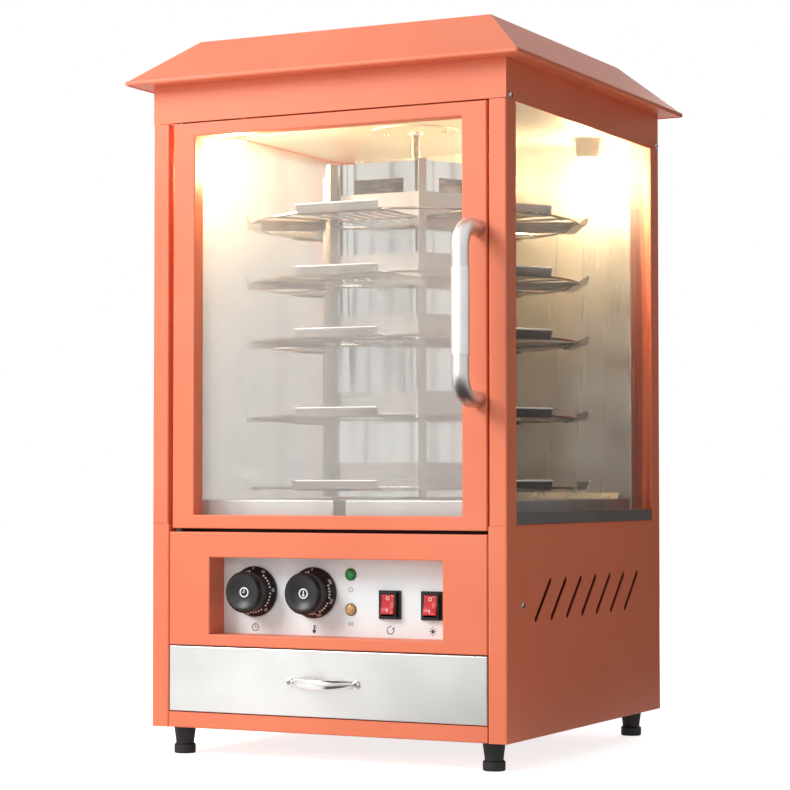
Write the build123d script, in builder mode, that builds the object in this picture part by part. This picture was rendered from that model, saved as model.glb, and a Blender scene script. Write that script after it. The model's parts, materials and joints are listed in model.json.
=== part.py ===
from build123d import *
import os

# Sweet potato roaster: a sheet-metal cabinet with a glass door, a turning carousel and a crumb drawer.
# Millimetres. The origin is on the floor under the carousel's axis, +Z is up and the front faces -Y.

# Cabinet
body_width = 450.0
body_depth = 470.0
foot_height = 32.0
lower_height = 234.0
upper_height = 510.0
header_height = 45.0
attic_height = 35.0
sheet = 1.2
slip = 0.3
seam = 0.8
seam_line = 1.2

# Folds of the sheet-metal panels
lower_post_face = 22.5
upper_post_face = 21.0
post_return = 22.0
window_margin = 26.0
rear_flange = 18.0
deck_flange = 27.0
ledge_flange = 16.0
rail_height = 18.0
fold_radius = 2.0
edge_radius = 1.5
fascia_fold = 15.0
fascia_top_fold = 28.0
header_fold = 40.0
sill_drop = 9.0

# Feet
foot_inset = 28.0
foot_top_radius = 13.0
foot_waist_radius = 10.5
foot_tread_radius = 12.5
foot_tread_height = 10.0

# Vent slots in the lower sides
vent_count = 7
vent_pitch = 45.2
vent_length = 65.0
vent_width = 6.5
vent_tilt = 45.0
vent_height = 151.0

# Roof
roof_overhang = 25.0
roof_hem = 6.0
roof_hem_wall = 3.0
roof_rise = 57.0
roof_hip_side = 62.5
roof_hip_front = 68.0
roof_corner = 3.0
soffit_band = 50.0

# Side glass
glass = 4.0
glass_lap = 9.0
channel_width = 7.2
channel_height = 13.0

# Door
door_left_gap = 6.0
door_right_gap = 2.4
door_top_gap = 1.5
door_sill_gap = 4.0
door_depth = 22.0
door_reveal = 18.0
door_stile_left = 28.5
door_stile_right = 30.0
door_rail = 15.5
door_glass_lap = 10.0
retainer_edge = 2.0

# Door hinges and catch
hinge_inset = 7.0
hinge_setback = 6.5
pin_radius = 2.5
pin_head_radius = 4.5
pin_head = 2.5
pin_tail = 6.0
bush_radius = 3.8
bush_flange_radius = 5.0
bush_flange = 2.0
running = 0.05
magnet_length = 34.0
magnet_height = 12.0
magnet_depth = 14.0
magnet_inset = 8.0

# Door handle
handle_inset = 10.6
handle_rise = 1.8
handle_span = 187.0
handle_reach = 45.0
handle_radius = 9.5
handle_bend = 26.0
grip_length = 94.0
grip_wall = 0.7

# Control recess
recess_half_width = 148.0
recess_height = 88.0
recess_bottom = 108.0
recess_depth = 33.0
plate = 1.5
plate_lap = 6.0

# Timer, thermostat and their knobs
timer_x = -106.0
thermostat_x = -29.0
knob_height = 156.5
knob_skirt_radius = 29.0
knob_cap_radius = 22.0
knob_skirt_height = 9.0
knob_rim = 4.0
knob_reach = 30.0
knob_gap = 0.6
knob_stem_radius = 3.0
knob_stem = 22.0
unit_size = 44.0
unit_depth = 34.0
unit_neck_radius = 4.8
terminal_width = 6.3
terminal_thickness = 0.8
terminal_length = 8.0

# Indicator lamps
indicator_x = 18.0
indicator_heights = (178.0, 138.5)
indicator_radius = 7.0
indicator_dome = 4.0
indicator_barrel_radius = 4.9
indicator_barrel = 22.0

# Rocker switches
switch_xs = (68.0, 120.5)
switch_height = 145.0
switch_flange = (27.0, 32.0)
switch_collar = (20.0, 28.6)
switch_body = (21.0, 27.0)
switch_flange_thickness = 2.5
switch_collar_height = 7.0
switch_body_depth = 24.0
rocker_width = 16.0
rocker_half_length = 11.0
rocker_crown = 5.6
rocker_valley = 4.2
rocker_heel = 2.0
rocker_tilt = 8.5
rocker_pivot = 3.0
rocker_pin_radius = 1.5
rocker_pin_engagement = 1.0
pocket_clearance = 0.35
pocket_depth = 7.0

# Drawer
drawer_height = 75.0
drawer_top_gap = 1.0
drawer_fold = 12.0
drawer_side_gap = 7.7
drawer_rear_gap = 68.0
drawer_box_height = 58.0
runner_ledge = 15.0
runner_foot = 15.0
runner_guide = 30.0
runner_rear_gap = 35.0
runner_setback = 25.0

# Drawer pull
pull_height = 57.0
pull_half_span = 42.0
pull_bow = 22.0
pull_strip = 2.5
pull_width = 11.0
pull_lug_radius = 5.0
pull_screw_radius = 2.8
pull_screw_head = 1.8

# Roasting chamber
floor_front = 26.0
floor_plate_gap = 16.0
floor_plate_side = 27.0
floor_plate_front = 39.0
floor_plate_rear = 35.0
floor_plate_height = 26.8
floor_plate_notch = 32.0
floor_plate_fold = 2.0
liner_setback = 21.0
liner_inset = 29.0
liner_vent = 26.0
liner_hood = 8.0
liner_foot = 16.0

# Heaters
heater_radius = 4.0
heater_inner_gap = 42.0
heater_outer_gap = 48.0
heater_end_gap = 46.0
heater_lift = 13.0
heater_tail = 20.0
heater_end_bend = 10.0
heater_turn = 0.4

# Chamber lamps
lamp_side_gap = 65.0
lamp_end_gap = 75.0
lamp_holder_radius = 16.0
lamp_holder = 24.0
lamp_neck_radius = 9.0
lamp_neck = 18.0
bulb_radius = 15.0
bulb_neck_radius = 7.8
bulb_length = 70.0
bulb_seat = 18.0

# Carousel drive
shaft_radius = 6.0
spindle_radius = 4.0
spindle_length = 38.0
coupling_radius = 12.0
coupling_length = 34.0
bearing_flange_radius = 28.0
bearing_flange = 3.0
bearing_boss_radius = 14.0
bearing_boss = 15.0
bearing_spigot = 6.0
top_flange_radius = 52.5
top_flange = 2.5
top_boss_radius = 9.5
top_boss = 4.0
shaft_top = 12.0
bracket_drop = 44.0
bracket_half_width = 48.0
bracket_flange = 14.0
bracket_half_depth = 32.0
gearbox_size = 64.0
gearbox_height = 30.0
gearbox_boss_radius = 11.0
gearbox_boss = 3.0
motor_radius = 30.0
motor_height = 34.0

# Carousel
carousel_clearance = 15.0
drum_share = 0.498
drum_sheet = 1.0
drum_lift = 30.0
drum_top_gap = 50.8
rib_width = 9.0
rib_reach = 11.5
slot_width = 65.0
slot_height = 17.0
slot_drop = 28.0
end_plate = 1.5
hub_radius = 13.0
hub_height = 14.0
drum_sides = 6
shelf_places = (0.0205, 0.2318, 0.462, 0.644, 0.8265)
wire = 4.0
wires_per_side = 7
lip_share = 0.53
lip_setback = 10.0
lip_bend = 4.0
lip_angle = 75.0
lip_rise = 8.5

# Cable gland and screws
gland_inset = 75.0
gland_height = 40.0
gland_bore_radius = 4.5
gland_thread_radius = 7.8
gland_nut_radius = 11.0
gland_reach = 17.0
screw_head_radius = 4.0
screw_head = 2.2
screw_radius = 2.0
side_screw_low = (42.0, 147.0)
side_screw_front = (11.5, 4.5)
side_screw_rear = (7.0, 6.0)
rear_screw_margin = 25.0
flange_screw_radius = 40.0

# Levels and faces worked out from the sizes above
front = -body_depth / 2
rear = body_depth / 2
side = body_width / 2
inner_side = side - sheet
back_face = rear - sheet
back_flange_face = back_face - sheet
base_z = foot_height
seam_z = base_z + lower_height
soffit_z = seam_z + upper_height
header_z = soffit_z - header_height
header_bottom = header_z + seam
ceiling_z = soffit_z - attic_height
fascia_top = seam_z - sill_drop
floor_top = seam_z + sheet
rail_half = side - lower_post_face - seam
drawer_bottom = base_z + rail_height + seam
fascia_bottom = drawer_bottom + drawer_height + drawer_top_gap
recess_low = base_z + recess_bottom
recess_high = recess_low + recess_height
plate_front = front + recess_depth
plate_back = plate_front + plate
door_left = -side + upper_post_face + door_left_gap
door_right = side - upper_post_face - door_right_gap
door_low = fascia_top + door_sill_gap
door_high = header_bottom - door_top_gap
window_left = door_left + door_stile_left
window_right = door_right - door_stile_right
window_low = door_low + door_rail
window_high = door_high - door_rail
door_back = front + door_depth
hinge_x = door_left + hinge_inset
hinge_y = front + hinge_setback
mount_z = seam_z - bracket_drop
coupling_low = mount_z + gearbox_boss + slip
coupling_middle = coupling_low + coupling_length / 2
coupling_high = coupling_low + coupling_length
retainer_y = max(door_back, front + door_reveal + glass)
liner_face = rear - liner_setback
chamber_reach = min(-retainer_y - sheet, liner_face, inner_side - slip - glass)
rim_radius = chamber_reach - carousel_clearance
drum_apothem = rim_radius * drum_share
drum_side = 2 * drum_apothem / 3 ** 0.5
rib_end = drum_side + rib_reach
rib_middle = (drum_apothem + rib_end) / 2
rib_depth = rib_end - drum_apothem
drum_low = floor_top + drum_lift
drum_high = ceiling_z - drum_top_gap
drum_height = drum_high - drum_low
shelf_lows = [drum_low + place * drum_height for place in shelf_places]
lip_start = rim_radius - lip_setback
drawer_half_width = rail_half - drawer_side_gap
floor_plate_edge = side - floor_plate_side
heater_inner_x = floor_plate_gap / 2 + heater_inner_gap
heater_outer_x = floor_plate_edge - heater_outer_gap
heater_half_length = rear - floor_plate_front - heater_end_gap
gland_x = side - gland_inset
rocker_y = plate_front - rocker_pivot

os.makedirs("parts", exist_ok=True)


def hand_in(piece, name):
    """Label a finished piece and write it."""
    piece.part.label = name
    export_step(piece.part, f"parts/{name}.step")


def front_plane(y):
    """Upright plane at depth y, drawn in X and Z and facing the front."""
    return Plane.XZ.offset(-y)


def folded(plane, *points):
    """Section of a folded sheet: the points are its outside corners, with the thickness on their left."""
    with BuildSketch(plane) as fold:
        with BuildLine():
            FilletPolyline(*points, radius=fold_radius)
            offset(amount=sheet, kind=Kind.INTERSECTION, side=Side.LEFT)
        make_face()
    return fold.sketch


def panel(plane, low, high, hole_low=None, hole_high=None):
    """Rectangle between two corners, with a rectangular window if its corners are given."""
    with BuildSketch(plane) as outline:
        with Locations(((low[0] + high[0]) / 2, (low[1] + high[1]) / 2)):
            Rectangle(high[0] - low[0], high[1] - low[1])
        if hole_low:
            with Locations(((hole_low[0] + hole_high[0]) / 2, (hole_low[1] + hole_high[1]) / 2)):
                Rectangle(hole_high[0] - hole_low[0], hole_high[1] - hole_low[1], mode=Mode.SUBTRACT)
    return outline.sketch


def rim(plane, low, high):
    """Edge folds of a panel: a band one sheet wide inside its outline."""
    return panel(plane, low, high, (low[0] + sheet, low[1] + sheet), (high[0] - sheet, high[1] - sheet))


def front_edges(piece):
    """Edges round a panel's front face, its openings included, which a press brake leaves rounded."""
    return piece.faces().filter_by(Axis.Y).sort_by(Axis.Y)[0].edges().filter_by(GeomType.LINE)


def turned(plane, *points):
    """Closed outline of a turned piece: radius along the plane's X, length along its Y."""
    with BuildSketch(plane) as outline:
        with BuildLine():
            Polyline(*points, close=True)
        make_face()
    return outline.sketch


def facing(x, y, z):
    """Plane for a piece turned about a front-to-back axis: X is its radius, Y points to the rear."""
    return Plane(origin=(x, y, z), x_dir=(1, 0, 0), z_dir=(0, 0, 1))


def front_axis(x, z):
    """Front-to-back axis through a point of the front."""
    return Axis((x, 0, z), (0, 1, 0))


def upright(x, y):
    """Plane for a piece turned about a vertical axis: X is its radius, Y points up."""
    return Plane(origin=(x, y, 0), x_dir=(1, 0, 0), z_dir=(0, -1, 0))


# Feet: black stands with a waist and a flared tread
with BuildPart() as foot:
    foot_profile = turned(Plane.XZ, (0, 0), (foot_tread_radius - seam, 0), (foot_tread_radius, seam * 2),
                          (foot_tread_radius, foot_tread_height),
                          (foot_waist_radius, foot_tread_height + 2 * seam),
                          (foot_waist_radius, foot_tread_height + 5 * seam), (foot_top_radius, foot_height),
                          (0, foot_height))
    revolve(foot_profile, axis=Axis.Z)
with BuildPart() as feet:
    with GridLocations(2 * (side - foot_inset), 2 * (rear - foot_inset), 2, 2):
        add(foot.part)
hand_in(feet, "feet")

# Base pan: a tray notched for the front posts, whose front wall is the bottom rail
with BuildPart() as base_pan:
    with BuildSketch(Plane.XY.offset(base_z)):
        add(panel(Plane.XY, (-inner_side, front), (inner_side, back_flange_face)))
        with Locations((-inner_side, front), (inner_side, front)):
            Rectangle(2 * (inner_side - rail_half), 2 * (post_return + seam), mode=Mode.SUBTRACT)
    extrude(amount=rail_height)
    fillet(base_pan.edges().group_by(Axis.Z)[0], fold_radius)
    offset(amount=-sheet, openings=base_pan.faces().sort_by(Axis.Z)[-1])
hand_in(base_pan, "base_pan")

# Lower sides: a folded front post, the slotted wall, a rear flange and a deck flange
with BuildPart() as right_lower_side:
    post_edge = side - lower_post_face
    extrude(folded(Plane.XY.offset(base_z), (post_edge, front + post_return), (post_edge, front),
                   (side, front), (side, back_face), (side - rear_flange, back_face)), amount=lower_height)
    extrude(panel(Plane.XY.offset(seam_z), (side - deck_flange, front + floor_front),
                  (inner_side, back_flange_face)), amount=-sheet)
    with BuildSketch(Plane.YZ.offset(side)):
        with Locations((0, base_z + vent_height)):
            with GridLocations(vent_pitch, 1, vent_count, 1):
                SlotOverall(vent_length, vent_width, rotation=vent_tilt)
        with Locations((front + side_screw_low[0], base_z + side_screw_low[1])):
            Circle(screw_radius + running)
    extrude(amount=-2 * sheet, mode=Mode.SUBTRACT)
hand_in(right_lower_side, "right_lower_side")
with BuildPart() as left_lower_side:
    mirror(right_lower_side.part, about=Plane.YZ)
hand_in(left_lower_side, "left_lower_side")


def rear_screws(low, high):
    """Places of a rear panel's four screws, in X and Z."""
    x = side - rear_flange / 2
    return [(s * x, z) for s in (-1, 1) for z in (low + rear_screw_margin, high - rear_screw_margin)]


# Rear panels, screwed to the flanges of the sides
with BuildPart() as lower_rear_panel:
    extrude(panel(front_plane(rear), (-side, base_z), (side, seam_z - slip)), amount=sheet)
    with BuildSketch(front_plane(rear)):
        with Locations((gland_x, base_z + gland_height)):
            Circle(gland_thread_radius + running)
        with Locations(*rear_screws(base_z, seam_z)):
            Circle(screw_radius + running)
    extrude(amount=sheet, mode=Mode.SUBTRACT)
hand_in(lower_rear_panel, "lower_rear_panel")
with BuildPart() as upper_rear_panel:
    extrude(panel(front_plane(rear), (-side, seam_z), (side, soffit_z)), amount=sheet)
    with BuildSketch(front_plane(rear)):
        with Locations(*rear_screws(seam_z, soffit_z)):
            Circle(screw_radius + running)
    extrude(amount=sheet, mode=Mode.SUBTRACT)
hand_in(upper_rear_panel, "upper_rear_panel")

# Cable gland: nut and thread inside, domed cap outside
with BuildPart() as cable_gland:
    gland_nut = gland_reach / 3
    gland_profile = turned(facing(gland_x, rear, base_z + gland_height),
                           (gland_bore_radius, -2 * gland_nut), (gland_thread_radius, -2 * gland_nut),
                           (gland_thread_radius, -gland_nut - sheet), (gland_nut_radius, -gland_nut - sheet),
                           (gland_nut_radius, -sheet), (gland_thread_radius, -sheet),
                           (gland_thread_radius, 0), (gland_nut_radius, 0), (gland_nut_radius, gland_nut),
                           (gland_thread_radius, gland_reach - seam), (gland_bore_radius, gland_reach))
    revolve(gland_profile, axis=front_axis(gland_x, base_z + gland_height))
hand_in(cable_gland, "cable_gland")

# Control fascia: a panel folded back all round, with a deep recess for the controls
with BuildPart() as control_fascia:
    fascia_plane = front_plane(front)
    fascia_low = (-rail_half, fascia_bottom)
    fascia_high = (rail_half, fascia_top)
    recess_corner_low = (-recess_half_width, recess_low)
    recess_corner_high = (recess_half_width, recess_high)
    extrude(panel(fascia_plane, fascia_low, fascia_high, recess_corner_low, recess_corner_high),
            amount=-sheet)
    extrude(rim(fascia_plane, fascia_low, fascia_high), amount=-fascia_fold)
    extrude(panel(fascia_plane, (-rail_half, fascia_top - sheet), fascia_high), amount=-fascia_top_fold)
    extrude(rim(fascia_plane, (-recess_half_width - sheet, recess_low - sheet),
                (recess_half_width + sheet, recess_high + sheet)), amount=-recess_depth)
    fillet(front_edges(control_fascia), edge_radius)
    with Locations((hinge_x, hinge_y, fascia_top)):
        Cylinder(bush_radius + running, 3 * sheet, mode=Mode.SUBTRACT)
hand_in(control_fascia, "control_fascia")

# Control plate: the pale sheet at the back of the recess, pierced for the controls
with BuildPart() as control_plate:
    extrude(panel(front_plane(plate_front), (-recess_half_width - plate_lap, recess_low - plate_lap),
                  (recess_half_width + plate_lap, recess_high + plate_lap)), amount=-plate)
    with BuildSketch(front_plane(plate_front)):
        with Locations((timer_x, base_z + knob_height), (thermostat_x, base_z + knob_height)):
            Circle(unit_neck_radius + running)
        with Locations(*[(indicator_x, base_z + z) for z in indicator_heights]):
            Circle(indicator_barrel_radius + running)
        with Locations(*[(x, base_z + switch_height) for x in switch_xs]):
            Rectangle(switch_body[0] + slip, switch_body[1] + slip)
    extrude(amount=-plate, mode=Mode.SUBTRACT)
hand_in(control_plate, "control_plate")

# Timer and thermostat: boxes behind the plate with a neck through it, and their knobs
for name, knob_x in (("timer", timer_x), ("thermostat", thermostat_x)):
    knob_z = base_z + knob_height
    with BuildPart() as unit:
        with BuildSketch(front_plane(plate_back)):
            with Locations((knob_x, knob_z)):
                RectangleRounded(unit_size, unit_size, unit_size / 8)
        extrude(amount=-unit_depth)
        with BuildSketch(front_plane(plate_front)):
            with Locations((knob_x, knob_z)):
                Circle(unit_neck_radius)
        extrude(amount=-plate)
        with BuildSketch(front_plane(plate_back + unit_depth)):
            with Locations((knob_x, knob_z)):
                with GridLocations(unit_size / 2, 1, 2, 1):
                    Rectangle(terminal_thickness, terminal_width)
        extrude(amount=-terminal_length)
        with BuildSketch(front_plane(plate_front)):
            with Locations((knob_x, knob_z)):
                Circle(knob_stem_radius + running)
        extrude(amount=-knob_stem - slip, mode=Mode.SUBTRACT)
    hand_in(unit, f"{name}_unit")

    with BuildPart() as knob:
        cap_edge = knob_cap_radius / 6
        with BuildSketch(facing(knob_x, plate_front, knob_z)):
            with BuildLine():
                dish = ThreePointArc((0, -knob_reach + cap_edge / 2),
                                     (knob_cap_radius / 2, -knob_reach + cap_edge / 3),
                                     (knob_cap_radius - cap_edge, -knob_reach))
                edge = RadiusArc(dish @ 1, (knob_cap_radius, -knob_reach + cap_edge), cap_edge)
                cap = Line(edge @ 1, (knob_cap_radius, -knob_skirt_height))
                skirt = Line(cap @ 1, (knob_skirt_radius, -knob_rim))
                Polyline(skirt @ 1, (knob_skirt_radius, -knob_gap), (knob_stem_radius, -knob_gap),
                         (knob_stem_radius, knob_stem), (0, knob_stem), dish @ 0)
            make_face()
        revolve(axis=front_axis(knob_x, knob_z))
    hand_in(knob, f"{name}_knob")

# Indicator lamps: domed lenses with a barrel through the plate
with BuildPart() as indicator_lamps:
    for height in indicator_heights:
        with BuildSketch(facing(indicator_x, plate_front, base_z + height)):
            with BuildLine():
                crown = ThreePointArc((0, -indicator_dome), (indicator_radius * 0.7, -indicator_dome * 0.72),
                                      (indicator_radius, -seam))
                Polyline(crown @ 1, (indicator_radius, 0), (indicator_barrel_radius, 0),
                         (indicator_barrel_radius, indicator_barrel), (0, indicator_barrel), crown @ 0)
            make_face()
        revolve(axis=front_axis(indicator_x, base_z + height))
hand_in(indicator_lamps, "indicator_lamps")

# Switch bodies: a flange on the plate, a raised collar and a pocket in which the rocker swings
pocket_length = 2 * ((rocker_half_length ** 2 + rocker_crown ** 2) ** 0.5 + pocket_clearance)
pin_length = rocker_width + 2 * (pocket_clearance + rocker_pin_engagement)
outwards = (Align.CENTER, Align.MAX, Align.CENTER)
inwards = (Align.CENTER, Align.MIN, Align.CENTER)
with BuildPart() as switch_bodies:
    for x in switch_xs:
        with Locations((x, plate_front, base_z + switch_height)):
            Box(switch_flange[0], switch_flange_thickness, switch_flange[1], align=outwards)
            Box(switch_collar[0], switch_collar_height, switch_collar[1], align=outwards)
            Box(switch_body[0], switch_body_depth, switch_body[1], align=inwards)
        with Locations((x, plate_front - switch_collar_height, base_z + switch_height)):
            Box(rocker_width + 2 * pocket_clearance, switch_collar_height + pocket_depth, pocket_length,
                align=inwards, mode=Mode.SUBTRACT)
        with Locations(Location((x, rocker_y, base_z + switch_height), (0, 90, 0))):
            Cylinder(rocker_pin_radius + running, pin_length, mode=Mode.SUBTRACT)
hand_in(switch_bodies, "switch_bodies")

# Rockers: a shallow valley between two raised ends, tipped to one side on a cross pin
for name, x in zip(("rotation_rocker", "lighting_rocker"), switch_xs):
    with BuildPart() as rocker:
        pivot = Plane(origin=(x, rocker_y, base_z + switch_height), x_dir=(0, 0, 1), z_dir=(1, 0, 0))
        with BuildSketch(pivot.rotated((-rocker_tilt, 0, 0))):
            with BuildLine():
                Polyline((-rocker_half_length, -rocker_heel), (-rocker_half_length, rocker_crown),
                         (0, rocker_valley), (rocker_half_length, rocker_crown),
                         (rocker_half_length, -rocker_heel), close=True)
            make_face()
        extrude(amount=rocker_width / 2, both=True)
        with BuildSketch(pivot):
            Circle(rocker_pin_radius)
        extrude(amount=pin_length / 2 - running, both=True)
    hand_in(rocker, name)

# Drawer runners: a foot on the base pan, a guiding web and a ledge under the drawer box
ledge_top = drawer_bottom + sheet
web_x = drawer_half_width + slip
with BuildPart() as drawer_runners:
    runner_plane = front_plane(front + runner_setback)
    runner_length = rear - runner_rear_gap - front - runner_setback
    runner_base = base_z + sheet
    extrude(folded(runner_plane, (web_x, ledge_top + runner_guide), (web_x, runner_base),
                   (web_x + runner_foot, runner_base)), amount=-runner_length)
    extrude(panel(runner_plane, (web_x - runner_ledge, ledge_top - sheet), (web_x, ledge_top)),
            amount=-runner_length)
    mirror(about=Plane.YZ)
hand_in(drawer_runners, "drawer_runners")

# Drawer: a folded front, an open box behind it and a bow pull
with BuildPart() as drawer_front:
    face_low = (-rail_half + slip, drawer_bottom)
    face_high = (rail_half - slip, drawer_bottom + drawer_height)
    extrude(panel(front_plane(front), face_low, face_high), amount=-sheet)
    extrude(rim(front_plane(front), face_low, face_high), amount=-drawer_fold)
    fillet(front_edges(drawer_front), edge_radius)
hand_in(drawer_front, "drawer_front")
with BuildPart() as drawer_box:
    box_low = ledge_top + slip
    extrude(panel(front_plane(front + drawer_fold), (-drawer_half_width, box_low),
                  (drawer_half_width, box_low + drawer_box_height)),
            amount=front + drawer_fold + drawer_rear_gap - rear)
    offset(amount=-sheet, openings=drawer_box.faces().sort_by(Axis.Z)[-1])
hand_in(drawer_box, "drawer_box")
with BuildPart() as drawer_pull:
    bow_end = pull_half_span - pull_lug_radius / 2
    with BuildSketch(Plane.XY.offset(base_z + pull_height)):
        with BuildLine():
            outer_bow = ThreePointArc((-bow_end, front), (0, front - pull_bow), (bow_end, front))
            inner_bow = ThreePointArc((-bow_end + pull_strip, front), (0, front - pull_bow + pull_strip),
                                      (bow_end - pull_strip, front))
            Line(outer_bow @ 0, inner_bow @ 0)
            Line(outer_bow @ 1, inner_bow @ 1)
        make_face()
    extrude(amount=pull_width / 2, both=True)
    with BuildSketch(front_plane(front)):
        with Locations((-pull_half_span, base_z + pull_height), (pull_half_span, base_z + pull_height)):
            Circle(pull_lug_radius)
    extrude(amount=pull_strip)
hand_in(drawer_pull, "drawer_pull")
with BuildPart() as pull_screws:
    for x in (-pull_half_span, pull_half_span):
        screw_profile = turned(facing(x, front - pull_strip, base_z + pull_height), (0, 0),
                               (pull_screw_radius, 0), (pull_screw_radius, -pull_screw_head / 2),
                               (pull_screw_radius / 2, -pull_screw_head), (0, -pull_screw_head))
        revolve(screw_profile, axis=front_axis(x, base_z + pull_height))
hand_in(pull_screws, "pull_screws")

# Chamber floor: a deck resting on the sides' deck flanges, folded down on to the fascia
with BuildPart() as chamber_floor:
    deck_front = front + floor_front
    extrude(folded(Plane.YZ, (back_flange_face, floor_top), (deck_front, floor_top),
                   (deck_front, fascia_top)), amount=side - deck_flange - seam, both=True)
    deck_half = side - ledge_flange - slip
    extrude(panel(Plane.XY.offset(seam_z), (-deck_half, deck_front), (deck_half, back_flange_face)),
            amount=sheet)
    with BuildSketch(Plane.XY.offset(seam_z)):
        Circle(bearing_boss_radius + running)
        with Locations(*[(s * x, heater_half_length)
                         for s in (-1, 1) for x in (heater_inner_x, heater_outer_x)]):
            Circle(heater_radius + slip)
    extrude(amount=sheet, mode=Mode.SUBTRACT)
hand_in(chamber_floor, "chamber_floor")

# Floor plates: upturned trays over the heaters, parted for the shaft
with BuildPart() as floor_plates:
    plate_low = (floor_plate_gap / 2, front + floor_plate_front)
    plate_high = (floor_plate_edge, rear - floor_plate_rear)
    extrude(panel(Plane.XY.offset(floor_top), plate_low, plate_high), amount=floor_plate_height)
    fillet(floor_plates.faces().sort_by(Axis.Z)[-1].edges(), floor_plate_fold)
    offset(amount=-sheet, openings=floor_plates.faces().sort_by(Axis.Z)[0])
    with Locations((0, 0, floor_top)):
        Cylinder(floor_plate_notch, 3 * floor_plate_height, mode=Mode.SUBTRACT)
    mirror(about=Plane.YZ)
hand_in(floor_plates, "floor_plates")

# Heaters: hairpin tubes under the floor plates, with their ends through the deck
with BuildPart() as heater_tubes:
    tube_z = floor_top + heater_lift
    tail_z = seam_z - heater_tail
    turn_bend = heater_turn * (heater_outer_x - heater_inner_x)
    with BuildLine():
        hairpin = FilletPolyline((heater_inner_x, heater_half_length, tail_z),
                                 (heater_inner_x, heater_half_length, tube_z),
                                 (heater_inner_x, -heater_half_length, tube_z),
                                 (heater_outer_x, -heater_half_length, tube_z),
                                 (heater_outer_x, heater_half_length, tube_z),
                                 (heater_outer_x, heater_half_length, tail_z),
                                 radius=[heater_end_bend, turn_bend, turn_bend, heater_end_bend])
    with BuildSketch(Plane(origin=hairpin @ 0, z_dir=hairpin % 0)):
        Circle(heater_radius)
    sweep(path=hairpin)
    mirror(about=Plane.YZ)
hand_in(heater_tubes, "heater_tubes")

# Drive: bracket under the deck, gear motor, spindle, coupling, bearings and shaft
with BuildPart() as motor_bracket:
    flange_x = bracket_half_width + bracket_flange
    extrude(folded(Plane.XZ, (flange_x, seam_z), (bracket_half_width, seam_z), (bracket_half_width, mount_z),
                   (-bracket_half_width, mount_z), (-bracket_half_width, seam_z), (-flange_x, seam_z)),
            amount=bracket_half_depth, both=True)
    with Locations((0, 0, mount_z)):
        Cylinder(gearbox_boss_radius + running, 3 * sheet, mode=Mode.SUBTRACT)
hand_in(motor_bracket, "motor_bracket")
gearbox_top = mount_z - sheet
with BuildPart() as gear_motor:
    with BuildSketch(Plane.XY.offset(gearbox_top)):
        RectangleRounded(gearbox_size, gearbox_size, gearbox_size / 6)
    extrude(amount=-gearbox_height)
    with BuildSketch(Plane.XY.offset(gearbox_top - gearbox_height)):
        Circle(motor_radius)
    extrude(amount=-motor_height)
    with BuildSketch(Plane.XY.offset(mount_z + gearbox_boss)):
        Circle(gearbox_boss_radius)
    extrude(amount=-gearbox_boss - sheet)
    with BuildSketch(Plane.XY.offset(mount_z + gearbox_boss)):
        Circle(spindle_radius + running)
    extrude(amount=-spindle_length / 2 - slip, mode=Mode.SUBTRACT)
hand_in(gear_motor, "gear_motor")
with BuildPart() as motor_spindle:
    with Locations((0, 0, mount_z + gearbox_boss)):
        Cylinder(spindle_radius, spindle_length)
hand_in(motor_spindle, "motor_spindle")
with BuildPart() as shaft_coupling:
    coupling_profile = turned(Plane.XZ, (spindle_radius + running, coupling_low),
                              (coupling_radius, coupling_low), (coupling_radius, coupling_high),
                              (shaft_radius + running, coupling_high),
                              (shaft_radius + running, coupling_middle + seam),
                              (spindle_radius + running, coupling_middle + seam))
    revolve(coupling_profile, axis=Axis.Z)
hand_in(shaft_coupling, "shaft_coupling")
with BuildPart() as drive_shaft:
    shaft_low = max(coupling_middle + seam, mount_z + gearbox_boss + spindle_length / 2 + seam)
    with BuildSketch(Plane.XY.offset(shaft_low)):
        Circle(shaft_radius)
    extrude(amount=ceiling_z + shaft_top - shaft_low)
hand_in(drive_shaft, "drive_shaft")
with BuildPart() as lower_shaft_bearing:
    bore = shaft_radius + running
    bearing_profile = turned(Plane.XZ, (bore, seam_z - bearing_spigot),
                             (bearing_boss_radius, seam_z - bearing_spigot),
                             (bearing_boss_radius, floor_top), (bearing_flange_radius, floor_top),
                             (bearing_flange_radius, floor_top + bearing_flange),
                             (bearing_boss_radius, floor_top + bearing_flange),
                             (bearing_boss_radius, floor_top + bearing_boss),
                             (bore, floor_top + bearing_boss))
    revolve(bearing_profile, axis=Axis.Z)
hand_in(lower_shaft_bearing, "lower_shaft_bearing")
with BuildPart() as upper_shaft_bearing:
    bearing_profile = turned(Plane.XZ, (bore, ceiling_z), (top_flange_radius, ceiling_z),
                             (top_flange_radius, ceiling_z - top_flange),
                             (top_boss_radius, ceiling_z - top_flange),
                             (top_boss_radius - seam, ceiling_z - top_flange - top_boss),
                             (bore, ceiling_z - top_flange - top_boss))
    revolve(bearing_profile, axis=Axis.Z)
    with BuildSketch(Plane.XY.offset(ceiling_z)):
        with Locations((-flange_screw_radius, 0), (flange_screw_radius, 0)):
            Circle(screw_radius + running)
    extrude(amount=-top_flange, mode=Mode.SUBTRACT)
hand_in(upper_shaft_bearing, "upper_shaft_bearing")

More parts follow.
